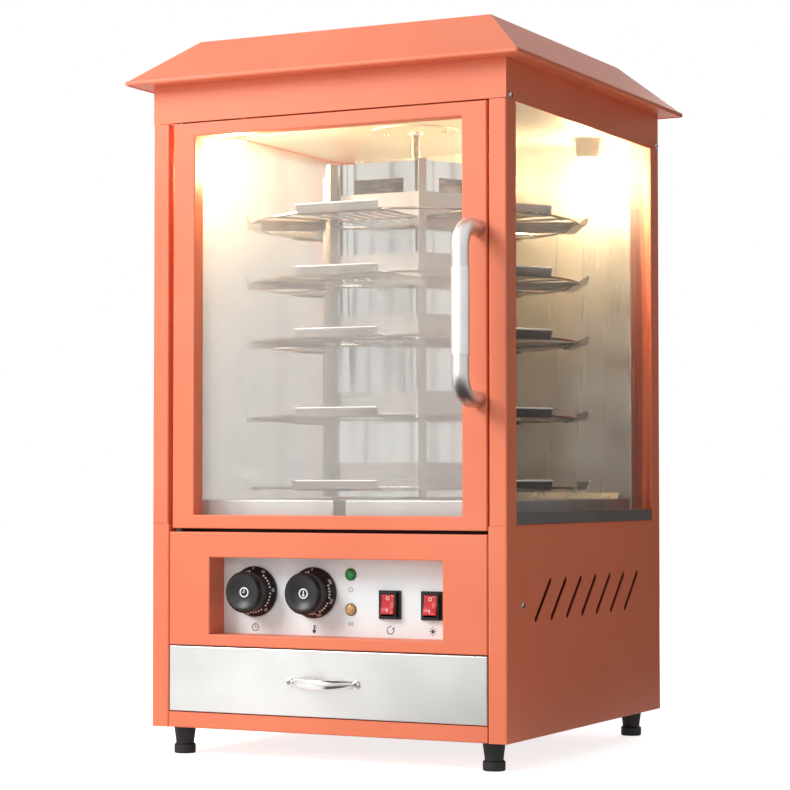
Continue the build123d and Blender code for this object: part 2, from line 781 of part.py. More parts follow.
# Carousel drum: a six-sided mirror tube with standing ribs at its corners and a vent slot near the top of
# each side, closed by two end plates with hubs
with BuildPart() as hex_drum:
    with BuildSketch(Plane.XY.offset(drum_low)):
        RegularPolygon(drum_apothem, drum_sides, major_radius=False)
        with PolarLocations(rib_middle, drum_sides):
            Rectangle(rib_depth, rib_width)
        RegularPolygon(drum_apothem - drum_sheet, drum_sides, major_radius=False, mode=Mode.SUBTRACT)
    extrude(amount=drum_height)
    with Locations((0, 0, drum_high - slot_drop)):
        with PolarLocations(drum_apothem, drum_sides, 180 / drum_sides):
            Box(4 * drum_sheet, slot_width, slot_height, mode=Mode.SUBTRACT)
hand_in(hex_drum, "hex_drum")
with BuildPart() as drum_end_plates:
    for plate_z, hub_low, hub_high in (
            (drum_low + drum_sheet, floor_top + bearing_boss + slip, drum_low + hub_height),
            (drum_high - drum_sheet - end_plate, drum_high - hub_height, drum_high + hub_height)):
        with BuildSketch(Plane.XY.offset(plate_z)):
            RegularPolygon(drum_apothem - drum_sheet, drum_sides, major_radius=False)
        extrude(amount=end_plate)
        with BuildSketch(Plane.XY.offset(hub_low)):
            Circle(hub_radius)
        extrude(amount=hub_high - hub_low)
    with Locations((0, 0, (drum_low + drum_high) / 2)):
        Cylinder(bore, 2 * drum_height, mode=Mode.SUBTRACT)
hand_in(drum_end_plates, "drum_end_plates")

# Shelves: wire racks of parallel wires square to each side, inside a round rim
with BuildSketch() as rim_ring:
    Circle(rim_radius + wire / 2)
    Circle(rim_radius - wire / 2, mode=Mode.SUBTRACT)
wire_pitch = drum_side / wires_per_side
reach = rim_radius - drum_apothem
for number, shelf_low in enumerate(shelf_lows, 1):
    with BuildPart() as shelf:
        with BuildSketch(Plane.XY.offset(shelf_low)):
            with PolarLocations(drum_apothem + reach / 2, drum_sides, 180 / drum_sides):
                with GridLocations(1, wire_pitch, 1, wires_per_side):
                    Rectangle(reach, wire)
            with PolarLocations(drum_apothem + reach / 2, drum_sides):
                Rectangle(reach, wire)
            Circle(rim_radius, mode=Mode.INTERSECT)
            add(rim_ring.sketch)
            RegularPolygon(drum_apothem + wire, drum_sides, major_radius=False)
            RegularPolygon(drum_apothem, drum_sides, major_radius=False, mode=Mode.SUBTRACT)
            with PolarLocations(rib_middle, drum_sides):
                Rectangle(rib_depth, rib_width, mode=Mode.SUBTRACT)
        extrude(amount=wire)
    hand_in(shelf, f"shelf_{number}")

# Shelf lips: folded strips under the wires' outer ends, turned up just outside the rim
with BuildPart() as lip:
    with BuildSketch(Plane.XZ):
        with BuildLine():
            flat = Line((lip_start, -sheet), (rim_radius + wire / 2 + slip, -sheet))
            bend = JernArc(flat @ 1, flat % 1, lip_bend, lip_angle)
            Line(bend @ 1, bend @ 1 + (bend % 1) * lip_rise)
            offset(amount=sheet, kind=Kind.INTERSECTION, side=Side.LEFT)
        make_face()
    extrude(amount=lip_share * rim_radius / 2, both=True)
with BuildPart() as shelf_lips:
    with Locations(*[(0, 0, shelf_low) for shelf_low in shelf_lows]):
        with PolarLocations(0, drum_sides, 180 / drum_sides):
            add(lip.part)
hand_in(shelf_lips, "shelf_lips")

# Upper sides: folded posts, a window, and flanges below and above.
# A rebate round the outside of the foot leaves the dark line seen where the two halves meet.
with BuildPart() as right_side_frame:
    post_edge = side - upper_post_face
    extrude(folded(Plane.XY.offset(seam_z), (post_edge, front + post_return), (post_edge, front),
                   (side, front), (side, back_face), (side - rear_flange, back_face)), amount=upper_height)
    extrude(panel(Plane.XY.offset(header_z), (post_edge, front), (inner_side, front + post_return)),
            amount=header_height, mode=Mode.SUBTRACT)
    extrude(panel(Plane.XY.offset(header_z), (inner_side, front), (side, front + sheet)),
            amount=header_height, mode=Mode.SUBTRACT)
    for flange_z in (seam_z, soffit_z - sheet):
        extrude(panel(Plane.XY.offset(flange_z), (side - ledge_flange, front + post_return + seam),
                      (inner_side, back_flange_face)), amount=sheet)
    with BuildSketch(Plane.YZ.offset(side)):
        add(panel(Plane.XY, (front + window_margin, floor_top), (rear - window_margin, header_z)))
        with Locations((front + side_screw_front[0], header_z + side_screw_front[1]),
                       (rear - side_screw_rear[0], header_z + side_screw_rear[1])):
            Circle(screw_radius + running)
    extrude(amount=-2 * sheet, mode=Mode.SUBTRACT)
    extrude(panel(Plane.XY.offset(seam_z), (post_edge, front), (side, front + sheet / 2)),
            amount=seam_line, mode=Mode.SUBTRACT)
    extrude(panel(Plane.XY.offset(seam_z), (side - sheet / 2, front), (side, back_face)),
            amount=seam_line, mode=Mode.SUBTRACT)
hand_in(right_side_frame, "right_side_frame")
with BuildPart() as left_side_frame:
    mirror(right_side_frame.part, about=Plane.YZ)
hand_in(left_side_frame, "left_side_frame")

# Side glass and the dark channels that it stands in
with BuildPart() as glass_channels:
    channel_top = floor_top + channel_height
    extrude(folded(Plane.XZ, (side - channel_width, channel_top), (side - channel_width, floor_top),
                   (side, floor_top), (side, channel_top)), amount=rear - window_margin - slip, both=True)
    mirror(about=Plane.YZ)
hand_in(glass_channels, "glass_channels")
with BuildPart() as side_glasses:
    extrude(panel(Plane.YZ.offset(inner_side - slip),
                  (front + window_margin - glass_lap, floor_top + fold_radius),
                  (rear - window_margin + glass_lap, header_z + glass_lap - sheet)), amount=-glass)
    mirror(about=Plane.YZ)
hand_in(side_glasses, "side_glasses")

# Header: the front panel over the door, folded back to carry the hinge and the ceiling
with BuildPart() as header_panel:
    extrude(folded(Plane.YZ, (front + rear_flange, soffit_z), (front, soffit_z), (front, header_bottom),
                   (front + header_fold, header_bottom), (front + header_fold, ceiling_z)),
            amount=inner_side - glass - 2 * slip, both=True)
    extrude(panel(front_plane(front), (-side, header_bottom), (side, soffit_z)), amount=-sheet)
    with Locations((hinge_x, hinge_y, header_bottom)):
        Cylinder(bush_radius + running, 3 * sheet, mode=Mode.SUBTRACT)
hand_in(header_panel, "header_panel")

# Ceiling: a tray turned up at the sides, pierced for the shaft and the lamps
lamp_places = ((-side + lamp_side_gap, front + lamp_end_gap), (side - lamp_side_gap, rear - lamp_end_gap))
with BuildPart() as ceiling_plate:
    ceiling_front = front + header_fold - 2 * sheet
    extrude(folded(front_plane(ceiling_front), (-inner_side, ceiling_z + rear_flange),
                   (-inner_side, ceiling_z), (inner_side, ceiling_z), (inner_side, ceiling_z + rear_flange)),
            amount=ceiling_front - back_flange_face)
    with BuildSketch(Plane.XY.offset(ceiling_z)):
        Circle(shaft_radius + sheet)
        with Locations(*lamp_places):
            Circle(lamp_neck_radius + running)
        with Locations((-flange_screw_radius, 0), (flange_screw_radius, 0)):
            Circle(screw_radius + running)
    extrude(amount=sheet, mode=Mode.SUBTRACT)
hand_in(ceiling_plate, "ceiling_plate")

# Rear liner: a shallow steel pan inside the rear panel, with a hooded air gap above the floor
with BuildPart() as rear_liner:
    liner_half_width = side - liner_inset
    extrude(folded(Plane.XY.offset(floor_top), (-liner_half_width, back_face),
                   (-liner_half_width, liner_face), (liner_half_width, liner_face),
                   (liner_half_width, back_face)), amount=ceiling_z - floor_top)
    vent_half = liner_half_width - liner_foot
    vent_top = floor_top + liner_vent
    extrude(panel(front_plane(liner_face), (-vent_half, floor_top), (vent_half, vent_top)),
            amount=3 * sheet, both=True, mode=Mode.SUBTRACT)
    with BuildSketch(Plane.YZ):
        Polygon((liner_face + sheet, vent_top + liner_hood), (liner_face, vent_top + liner_hood),
                (liner_face - liner_hood, vent_top), (liner_face - liner_hood + sheet, vent_top),
                align=None)
    extrude(amount=vent_half, both=True)
hand_in(rear_liner, "rear_liner")

# Lamps: ceramic holders through the ceiling and pear bulbs
with BuildPart() as lamp_holder_one:
    socket = bulb_neck_radius + running
    holder_profile = turned(Plane.XZ, (0, 0), (0, lamp_neck), (lamp_neck_radius, lamp_neck),
                            (lamp_neck_radius, 0), (lamp_holder_radius, 0),
                            (lamp_holder_radius * 0.85, -lamp_holder), (socket, -lamp_holder), (socket, 0))
    revolve(holder_profile, axis=Axis.Z)
with BuildPart() as lamp_holders:
    with Locations(*[(x, y, ceiling_z) for x, y in lamp_places]):
        add(lamp_holder_one.part)
hand_in(lamp_holders, "lamp_holders")
with BuildPart() as bulb:
    bulb_low = -lamp_holder + bulb_seat - bulb_length
    bulb_middle = bulb_low + bulb_radius
    with BuildSketch(Plane.XZ):
        with BuildLine():
            tip = ThreePointArc((0, bulb_low), (bulb_radius * 0.707, bulb_middle - bulb_radius * 0.707),
                                (bulb_radius, bulb_middle))
            waist = Spline(tip @ 1, (bulb_neck_radius, -lamp_holder - slip), tangents=((0, 1), (0, 1)))
            Polyline(waist @ 1, (bulb_neck_radius, -lamp_holder + bulb_seat),
                     (0, -lamp_holder + bulb_seat), tip @ 0)
        make_face()
    revolve(axis=Axis.Z)
with BuildPart() as lamp_bulbs:
    with Locations(*[(x, y, ceiling_z) for x, y in lamp_places]):
        add(bulb.part)
hand_in(lamp_bulbs, "lamp_bulbs")

# Roof: a flat soffit on the cabinet's top flanges and a hipped shell with a rounded hem
roof_width = body_width + 2 * roof_overhang
roof_depth = body_depth + 2 * roof_overhang
with BuildPart() as roof_soffit:
    with BuildSketch(Plane.XY.offset(soffit_z)):
        Rectangle(roof_width - 2 * (roof_hem_wall + slip), roof_depth - 2 * (roof_hem_wall + slip))
        Rectangle(body_width - 2 * soffit_band, body_depth - 2 * soffit_band, mode=Mode.SUBTRACT)
    extrude(amount=sheet)
hand_in(roof_soffit, "roof_soffit")
with BuildPart() as roof_shell:
    with BuildSketch(Plane.XY.offset(soffit_z - seam)):
        RectangleRounded(roof_width, roof_depth, roof_corner)
    extrude(amount=roof_hem)
    hem_edges = roof_shell.edges().filter_by(GeomType.LINE).filter_by(Axis.Z, reverse=True)
    fillet(hem_edges.group_by(Axis.Z)[0] + hem_edges.group_by(Axis.Z)[-1], roof_hem * 0.4)
    hem_top = soffit_z - seam + roof_hem * 0.75
    with BuildSketch(Plane.XY.offset(hem_top)):
        Rectangle(roof_width - roof_hem_wall, roof_depth - roof_hem_wall)
    with BuildSketch(Plane.XY.offset(soffit_z + roof_rise)):
        Rectangle(roof_width - 2 * roof_hip_side, roof_depth - 2 * roof_hip_front)
    loft()
    with BuildSketch(Plane.XY.offset(soffit_z - seam)):
        Rectangle(roof_width - 2 * roof_hem_wall, roof_depth - 2 * roof_hem_wall)
    extrude(amount=roof_hem * 0.75, mode=Mode.SUBTRACT)
    with BuildSketch(Plane.XY.offset(hem_top)):
        Rectangle(roof_width - 3 * roof_hem_wall, roof_depth - 3 * roof_hem_wall)
    with BuildSketch(Plane.XY.offset(soffit_z + roof_rise - sheet)):
        Rectangle(roof_width - 2 * (roof_hip_side + sheet), roof_depth - 2 * (roof_hip_front + sheet))
    loft(mode=Mode.SUBTRACT)
hand_in(roof_shell, "roof_shell")

# Door: a folded frame, its pane, and the plate that holds the pane from behind
door_corner_low = (door_left, door_low)
door_corner_high = (door_right, door_high)
window_corner_low = (window_left, window_low)
window_corner_high = (window_right, window_high)
with BuildPart() as door_frame:
    door_plane = front_plane(front)
    extrude(panel(door_plane, door_corner_low, door_corner_high, window_corner_low, window_corner_high),
            amount=-sheet)
    extrude(rim(door_plane, door_corner_low, door_corner_high), amount=-door_depth)
    extrude(rim(door_plane, (window_left - sheet, window_low - sheet),
                (window_right + sheet, window_high + sheet)), amount=-door_reveal)
    fillet(front_edges(door_frame), edge_radius)
    with Locations((hinge_x, hinge_y, door_low), (hinge_x, hinge_y, door_high)):
        Cylinder(pin_radius + running, 3 * sheet, mode=Mode.SUBTRACT)
hand_in(door_frame, "door_frame")
with BuildPart() as door_glass:
    extrude(panel(front_plane(front + door_reveal),
                  (window_left - door_glass_lap, window_low - door_glass_lap),
                  (window_right + door_glass_lap, window_high + door_glass_lap)), amount=-glass)
hand_in(door_glass, "door_glass")
with BuildPart() as glass_retainer:
    extrude(panel(front_plane(retainer_y), (door_left + seam, door_low + seam),
                  (door_right - seam, door_high - seam),
                  (window_left - retainer_edge, window_low - retainer_edge),
                  (window_right + retainer_edge, window_high + retainer_edge)), amount=-sheet)
hand_in(glass_retainer, "glass_retainer")

# Hinges: pins held in the door and flanged bushes held in the cabinet
with BuildPart() as hinge_pins:
    for wall, tip, away in ((door_high - sheet, header_bottom + pin_tail, 1),
                            (door_low + sheet, fascia_top - pin_tail, -1)):
        head_z = wall - away * pin_head
        pin_profile = turned(upright(hinge_x, hinge_y), (0, head_z), (pin_head_radius, head_z),
                             (pin_head_radius, wall), (pin_radius, wall), (pin_radius, tip), (0, tip))
        revolve(pin_profile, axis=Axis((hinge_x, hinge_y, 0), (0, 0, 1)))
hand_in(hinge_pins, "hinge_pins")
with BuildPart() as hinge_bushes:
    for body_low, body_high, flange_low, flange_high in (
            (header_bottom, header_bottom + sheet,
             header_bottom + sheet, header_bottom + sheet + bush_flange),
            (fascia_top - sheet - bush_flange, fascia_top, fascia_top, door_low - slip)):
        with BuildSketch(Plane.XY.offset(body_low)):
            with Locations((hinge_x, hinge_y)):
                Circle(bush_radius)
        extrude(amount=body_high - body_low)
        with BuildSketch(Plane.XY.offset(flange_low)):
            with Locations((hinge_x, hinge_y)):
                Circle(bush_flange_radius)
        extrude(amount=flange_high - flange_low)
    with Locations((hinge_x, hinge_y, (fascia_top + header_bottom) / 2)):
        Cylinder(pin_radius + running, 2 * upper_height, mode=Mode.SUBTRACT)
hand_in(hinge_bushes, "hinge_bushes")

# Magnet catch under the header's fold, behind the door's free edge
with BuildPart() as door_magnet:
    magnet_y = retainer_y + sheet + slip
    with Locations((door_right - magnet_inset - magnet_length / 2, magnet_y + magnet_depth / 2,
                    header_bottom - magnet_height / 2)):
        Box(magnet_length, magnet_depth, magnet_height)
    chamfer(door_magnet.edges().filter_by(Axis.Z), seam)
hand_in(door_magnet, "door_magnet")

# Handle: a bent tube on the door's free stile with a satin sleeve for the hand
handle_x = door_right - handle_inset
handle_low = (door_low + door_high) / 2 + handle_rise - handle_span / 2
handle_high = handle_low + handle_span
with BuildPart() as door_handle:
    with BuildLine():
        bow = FilletPolyline((handle_x, front, handle_low), (handle_x, front - handle_reach, handle_low),
                             (handle_x, front - handle_reach, handle_high), (handle_x, front, handle_high),
                             radius=handle_bend)
    with BuildSketch(Plane(origin=bow @ 0, z_dir=bow % 0)):
        Circle(handle_radius)
    sweep(path=bow)
hand_in(door_handle, "door_handle")
with BuildPart() as handle_grip:
    with BuildSketch(Plane.XY.offset((handle_low + handle_high) / 2)):
        with Locations((handle_x, front - handle_reach)):
            Circle(handle_radius + grip_wall)
            Circle(handle_radius + running, mode=Mode.SUBTRACT)
    extrude(amount=grip_length / 2, both=True)
hand_in(handle_grip, "handle_grip")

# Screws: bright domed heads with a short shank, on the sides, the rear and the bearing flange
with BuildPart() as screw:
    screw_profile = turned(Plane.XZ, (0, -sheet), (screw_radius, -sheet), (screw_radius, 0),
                           (screw_head_radius, 0), (screw_head_radius, screw_head * 0.4),
                           (screw_head_radius * 0.6, screw_head), (0, screw_head))
    revolve(screw_profile, axis=Axis.Z)
side_screws = ((front + side_screw_low[0], base_z + side_screw_low[1]),
               (front + side_screw_front[0], header_z + side_screw_front[1]),
               (rear - side_screw_rear[0], header_z + side_screw_rear[1]))
with BuildPart() as cabinet_screws:
    with Locations(*[Plane(origin=(side, y, z), z_dir=(1, 0, 0)) for y, z in side_screws],
                   *[Plane(origin=(-side, y, z), z_dir=(-1, 0, 0)) for y, z in side_screws]):
        add(screw.part)
    with Locations(*[Plane(origin=(x, rear, z), z_dir=(0, 1, 0))
                     for x, z in rear_screws(base_z, seam_z) + rear_screws(seam_z, soffit_z)]):
        add(screw.part)
    with Locations(*[Plane(origin=(s * flange_screw_radius, 0, ceiling_z - top_flange), z_dir=(0, 0, -1))
                     for s in (-1, 1)]):
        add(screw.part)
hand_in(cabinet_screws, "cabinet_screws")
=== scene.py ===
"""Looks of a table-top sweet potato roaster, laid out as a Blender add-on and run as a script.

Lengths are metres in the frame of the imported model: the floor is at zero height and the front faces -Y.
"""

import json
import math

import bmesh
import bpy
from bpy.props import FloatProperty, FloatVectorProperty, IntProperty, PointerProperty
from mathutils import Euler, Matrix, Vector


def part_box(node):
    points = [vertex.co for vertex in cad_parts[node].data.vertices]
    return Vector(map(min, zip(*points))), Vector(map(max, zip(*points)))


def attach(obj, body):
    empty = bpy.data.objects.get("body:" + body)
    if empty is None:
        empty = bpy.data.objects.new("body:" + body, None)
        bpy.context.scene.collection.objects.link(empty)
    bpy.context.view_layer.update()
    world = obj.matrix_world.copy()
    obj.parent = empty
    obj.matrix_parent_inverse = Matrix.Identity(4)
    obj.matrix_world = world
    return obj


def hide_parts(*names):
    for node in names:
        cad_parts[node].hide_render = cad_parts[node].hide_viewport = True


bl_info = {
    "name": "Sweet potato roaster",
    "version": (1, 0, 0),
    "blender": (4, 5, 0),
    "location": "3D View > Sidebar > Roaster",
    "description": "Finishes and small shapes of a roasting cabinet around its packed model",
    "category": "Object",
}

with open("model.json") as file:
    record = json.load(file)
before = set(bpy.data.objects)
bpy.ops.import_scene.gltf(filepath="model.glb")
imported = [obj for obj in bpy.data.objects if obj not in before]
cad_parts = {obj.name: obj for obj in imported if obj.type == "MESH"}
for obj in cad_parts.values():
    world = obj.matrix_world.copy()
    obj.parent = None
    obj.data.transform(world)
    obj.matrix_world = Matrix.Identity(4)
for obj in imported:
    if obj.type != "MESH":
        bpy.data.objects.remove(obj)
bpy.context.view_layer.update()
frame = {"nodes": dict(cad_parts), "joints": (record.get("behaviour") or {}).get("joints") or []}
MM = 0.001
# Points closer than this are one, and edges that turn by more than this angle stay sharp
MERGE = MM / 1000
SHARP = math.radians(32)
RACKS = [f"shelf_{number}" for number in range(1, 6)]
SIDES = 6
SIDE_TURN = 360 / SIDES
# Smooth noise keeps mostly within these values: broad and fine
CLOUD_LOW, CLOUD_HIGH = 0.35, 0.65
GRAIN_LOW, GRAIN_HIGH = 0.3, 0.7


def linear(colour):
    """Linear red, green and blue of an sRGB hex colour."""
    channels = [int(colour[place:place + 2], 16) / 255 for place in (1, 3, 5)]
    return tuple(value / 12.92 if value <= 0.04045 else ((value + 0.055) / 1.055) ** 2.4
                 for value in channels)


def shaded(colour, share):
    """A colour with each channel times a share."""
    return [channel * share for channel in colour]


def length(name, description, default):
    """A size property in metres."""
    return FloatProperty(name=name, description=description, default=default, min=0.0, unit="LENGTH")


def colour(name, description, default):
    """A colour property that starts from an sRGB hex colour."""
    return FloatVectorProperty(name=name, description=description, default=linear(default), size=3,
                               min=0.0, max=1.0, subtype="COLOR")


def node_middle(name):
    """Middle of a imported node's box."""
    low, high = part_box(name)
    return (low + high) / 2


def solid_boxes(name):
    """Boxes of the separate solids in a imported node, from right to left."""
    copy = bmesh.new()
    copy.from_mesh(frame["nodes"][name].data)
    bmesh.ops.transform(copy, matrix=frame["nodes"][name].matrix_world, verts=copy.verts)
    # Triangles of one solid meet to within this distance
    seam = MM / 100
    bmesh.ops.remove_doubles(copy, verts=copy.verts, dist=seam)
    waiting = set(copy.verts)
    boxes = []
    while waiting:
        found = [waiting.pop()]
        for vert in found:
            near = {edge.other_vert(vert) for edge in vert.link_edges} & waiting
            waiting -= near
            found.extend(near)
        places = [vert.co.copy() for vert in found]
        boxes.append((Vector([min(spot[axis] for spot in places) for axis in range(3)]),
                      Vector([max(spot[axis] for spot in places) for axis in range(3)])))
    copy.free()
    return sorted(boxes, key=lambda box: (*box[0], *box[1]), reverse=True)


class RoasterSizes(bpy.types.PropertyGroup):
    """Sizes of the shapes that this script adds."""
    wire: length("Rack wire", "Thickness of the racks' round wire", 3.2 * MM)
    wires_per_side: IntProperty(name="Wires per side", description="Rack wires square to each drum side",
                                default=7, min=1, max=15)
    lip_sheet: length("Lip sheet", "Thickness of the strips round the racks", 1.2 * MM)
    lip_bend: length("Lip bend", "Outer radius of the lips' fold", 4 * MM)
    lip_rise: length("Lip rise", "Straight part of a lip above its fold", 8.5 * MM)
    lip_bead: length("Lip bead", "Radius of the bead rolled along a lip's upper edge", 1.2 * MM)
    knob_cap: length("Knob cap", "Radius of a knob's raised cap at its foot", 22 * MM)
    knob_face: length("Knob face", "Radius of a knob's raised cap at its face", 23.8 * MM)
    knob_skirt: length("Knob skirt", "Radius of a knob's numbered skirt", 29 * MM)
    figure: length("Dial figures", "Height of the figures on the knob skirts", 4.2 * MM)
    dot: length("Dial dots", "Radius of the dots between the figures", 1.1 * MM)
    ink: length("Ink", "Thickness of printed marks", 0.12 * MM)
    rocker_width: length("Rocker width", "Width of a rocker between its cheeks", 16 * MM)
    rocker_length: length("Rocker length", "Length of a rocker from top to bottom", 22 * MM)
    lens: length("Signal lens", "Radius of a signal lamp with its bezel", 7 * MM)
    screw_head: length("Screw head", "Radius of a cabinet screw's head", 4 * MM)
    screw_rise: length("Screw rise", "Height of a cabinet screw's head", 2.2 * MM)
    pane_edge: length("Pane edge", "Ground bevel round the side panes", 0.6 * MM)
    pull_strip: length("Pull strip", "Thickness of the drawer pull's crowned strip", 3.2 * MM)
    pull_lug: length("Pull lug", "Radius of the drawer pull's round ends", 4.8 * MM)


class RoasterColours(bpy.types.PropertyGroup):
    """Colours of the finishes."""
    paint: colour("Paint", "Salmon powder coat of the cabinet", "#EF8461")
    paint_shade: colour("Paint shade", "Powder coat where it lies a little thicker", "#EA7D5A")
    steel: colour("Stainless steel", "Brushed and satin sheet", "#DEDEDC")
    mirror: colour("Mirror steel", "Polished faces of the drum", "#F0EFED")
    chrome: colour("Chrome", "Plated wire of the racks", "#C2B9AE")
    channel: colour("Glass channel", "Dark grey channels under the side panes", "#75716D")
    black: colour("Black plastic", "Knobs, switch housings and gland", "#151414")
    rubber: colour("Rubber", "Feet", "#070707")
    red: colour("Rocker red", "Translucent red rockers", "#D3202A")
    green: colour("Power lens", "Green signal lens", "#2FA24E")
    amber: colour("Heat lens", "Amber signal lens", "#F0BC7C")
    plate: colour("Control plate", "Pale enamel behind the controls", "#EDF6F7")
    ink: colour("White ink", "Figures and marks on black and red plastic", "#F5F4F0")
    dark_ink: colour("Dark ink", "Marks on the control plate", "#45454A")
    glow: colour("Lamp light", "Light of the two chamber lamps", "#FFE2AE")
    haze: colour("Glass haze", "Film on the panes", "#DFDCD9")


def add_node(tree, kind, inputs=None, **settings):
    """Add a node with its settings, and fill its inputs with values, sockets or nodes' first outputs."""
    made = tree.nodes.new(kind)
    for name, value in settings.items():
        setattr(made, name, value)
    for name, value in (inputs or {}).items():
        if isinstance(value, bpy.types.Node):
            value = value.outputs[0]
        if isinstance(value, bpy.types.NodeSocket):
            tree.links.new(value, made.inputs[name])
        else:
            made.inputs[name].default_value = value
    return made


def start_material(name):
    """An empty material: returns its node tree and its object coordinates."""
    material = bpy.data.materials.new(name)
    material.use_nodes = True
    tree = material.node_tree
    tree.nodes.clear()
    return tree, add_node(tree, "ShaderNodeTexCoord").outputs["Object"]


def even_finish(name, colour, shade, grain, cloud, roughness, spread, relief, detail=3.0, **sockets):
    """Make a material with a fine grain and a broad cloud, sized in millimetres, and return its shader.

    The colour drifts to its shade with the cloud, roughness varies by spread with the grain, relief is the
    grain's height and detail its finer layers.
    Other values go on the shader's own sockets, with _ for a space.
    """
    tree, place = start_material(name)
    fine = add_node(tree, "ShaderNodeMapping", {"Vector": place,
                                                "Scale": [1 / (size * MM) for size in grain]})
    grains = add_node(tree, "ShaderNodeTexNoise", {"Vector": fine, "Scale": 1.0, "Detail": detail,
                                                   "Roughness": 0.6})
    clouds = add_node(tree, "ShaderNodeTexNoise", {"Vector": place, "Scale": 1 / (cloud * MM),
                                                   "Detail": 2.0})
    drift = add_node(tree, "ShaderNodeMapRange", {"Value": clouds, "From Min": CLOUD_LOW,
                                                  "From Max": CLOUD_HIGH})
    tint = add_node(tree, "ShaderNodeMix", {0: drift, 6: (*colour, 1.0), 7: (*shade, 1.0)},
                    data_type="RGBA")
    dull = add_node(tree, "ShaderNodeMapRange", {"Value": grains, "From Min": GRAIN_LOW,
                                                 "From Max": GRAIN_HIGH, "To Min": roughness - spread,
                                                 "To Max": roughness + spread})
    bump = add_node(tree, "ShaderNodeBump", {"Height": grains, "Distance": relief * MM})
    shader = add_node(tree, "ShaderNodeBsdfPrincipled", {
        "Base Color": tint.outputs[2], "Roughness": dull, "Normal": bump,
        **{socket.replace("_", " "): value for socket, value in sockets.items()}})
    add_node(tree, "ShaderNodeOutputMaterial", {"Surface": shader})
    return shader


def grind_and_shade(shader, colour, roughness, corner, lows, tall):
    """Lay a duller finish over a shader, darker with painted shade: in a band above each of some heights,
    and out past a corner.
    """
    tree = shader.id_data
    place = add_node(tree, "ShaderNodeTexCoord").outputs["Object"]
    height = add_node(tree, "ShaderNodeSeparateXYZ", {"Vector": place}).outputs["Z"]
    level = add_node(tree, "ShaderNodeVectorMath", {0: place, 1: (1, 1, 0)}, operation="MULTIPLY")
    reach = add_node(tree, "ShaderNodeVectorMath", {0: level}, operation="LENGTH").outputs["Value"]
    ground = add_node(tree, "ShaderNodeMath", {0: reach, 1: corner}, operation="GREATER_THAN")
    for low in lows:
        band = add_node(tree, "ShaderNodeMath", {0: height, 1: low + tall / 2, 2: tall / 2},
                        operation="COMPARE")
        ground = add_node(tree, "ShaderNodeMath", {0: ground, 1: band}, operation="MAXIMUM")
    bright, smooth, bump = [shader.inputs[name].links[0].from_socket
                            for name in ("Base Color", "Roughness", "Normal")]
    # The ground parts take a darker colour, which is painted shade
    tint = add_node(tree, "ShaderNodeMix", {0: ground, 6: bright, 7: (*colour, 1.0)}, data_type="RGBA")
    dull = add_node(tree, "ShaderNodeMix", {0: ground, 2: smooth, 3: roughness}, data_type="FLOAT")
    waves = add_node(tree, "ShaderNodeMath", {0: 1.0, 1: ground}, operation="SUBTRACT")
    tree.links.new(tint.outputs[2], shader.inputs["Base Color"])
    tree.links.new(dull.outputs[0], shader.inputs["Roughness"])
    tree.links.new(waves.outputs[0], bump.node.inputs["Strength"])


def glass_pane(name, film, filmed_side, haze_low, haze_high, low, high, tint, index):
    """Make a clear pane with a thin film of haze on one face, which changes between two heights.

    Only the side of a pane that a ray meets first counts. The filmed face looks along filmed_side.
    """
    tree, place = start_material(name)
    normal = add_node(tree, "ShaderNodeTexCoord").outputs["Normal"]
    along = add_node(tree, "ShaderNodeVectorMath", {0: normal, 1: filmed_side}, operation="DOT_PRODUCT")
    filmed = add_node(tree, "ShaderNodeMath", {0: along.outputs["Value"], 1: 0.0}, operation="GREATER_THAN")
    height = add_node(tree, "ShaderNodeSeparateXYZ", {"Vector": place}).outputs["Z"]
    fade = add_node(tree, "ShaderNodeMapRange", {"Value": height, "From Min": low, "From Max": high,
                                                 "To Min": haze_low, "To Max": haze_high},
                    interpolation_type="SMOOTHSTEP")
    # Wipe marks change the film by less than a tenth
    wipe = 90 * MM
    smear = add_node(tree, "ShaderNodeTexNoise", {"Vector": place, "Scale": 1 / wipe, "Detail": 3.0})
    share = add_node(tree, "ShaderNodeMapRange", {"Value": smear, "From Min": GRAIN_LOW,
                                                  "From Max": GRAIN_HIGH, "To Min": 0.92, "To Max": 1.08})
    patchy = add_node(tree, "ShaderNodeMath", {0: fade, 1: share}, operation="MULTIPLY")
    haze = add_node(tree, "ShaderNodeMath", {0: patchy, 1: filmed}, operation="MULTIPLY")
    front_lit = add_node(tree, "ShaderNodeBsdfDiffuse", {"Color": (*film, 1.0)})
    back_lit = add_node(tree, "ShaderNodeBsdfTranslucent", {"Color": (*film, 1.0)})
    film_both = add_node(tree, "ShaderNodeMixShader", {0: 0.5, 1: front_lit, 2: back_lit})
    clear = add_node(tree, "ShaderNodeBsdfTransparent", {"Color": (*tint, 1.0)})
    hazy = add_node(tree, "ShaderNodeMixShader", {0: haze, 1: clear, 2: film_both})
    gloss = add_node(tree, "ShaderNodeBsdfGlossy", {"Roughness": 0.02})
    shine = add_node(tree, "ShaderNodeFresnel", {"IOR": index})
    front = add_node(tree, "ShaderNodeMixShader", {0: shine, 1: hazy, 2: gloss})
    through = add_node(tree, "ShaderNodeBsdfTransparent")
    behind = add_node(tree, "ShaderNodeNewGeometry").outputs["Backfacing"]
    pane = add_node(tree, "ShaderNodeMixShader", {0: behind, 1: front, 2: through})
    add_node(tree, "ShaderNodeOutputMaterial", {"Surface": pane})


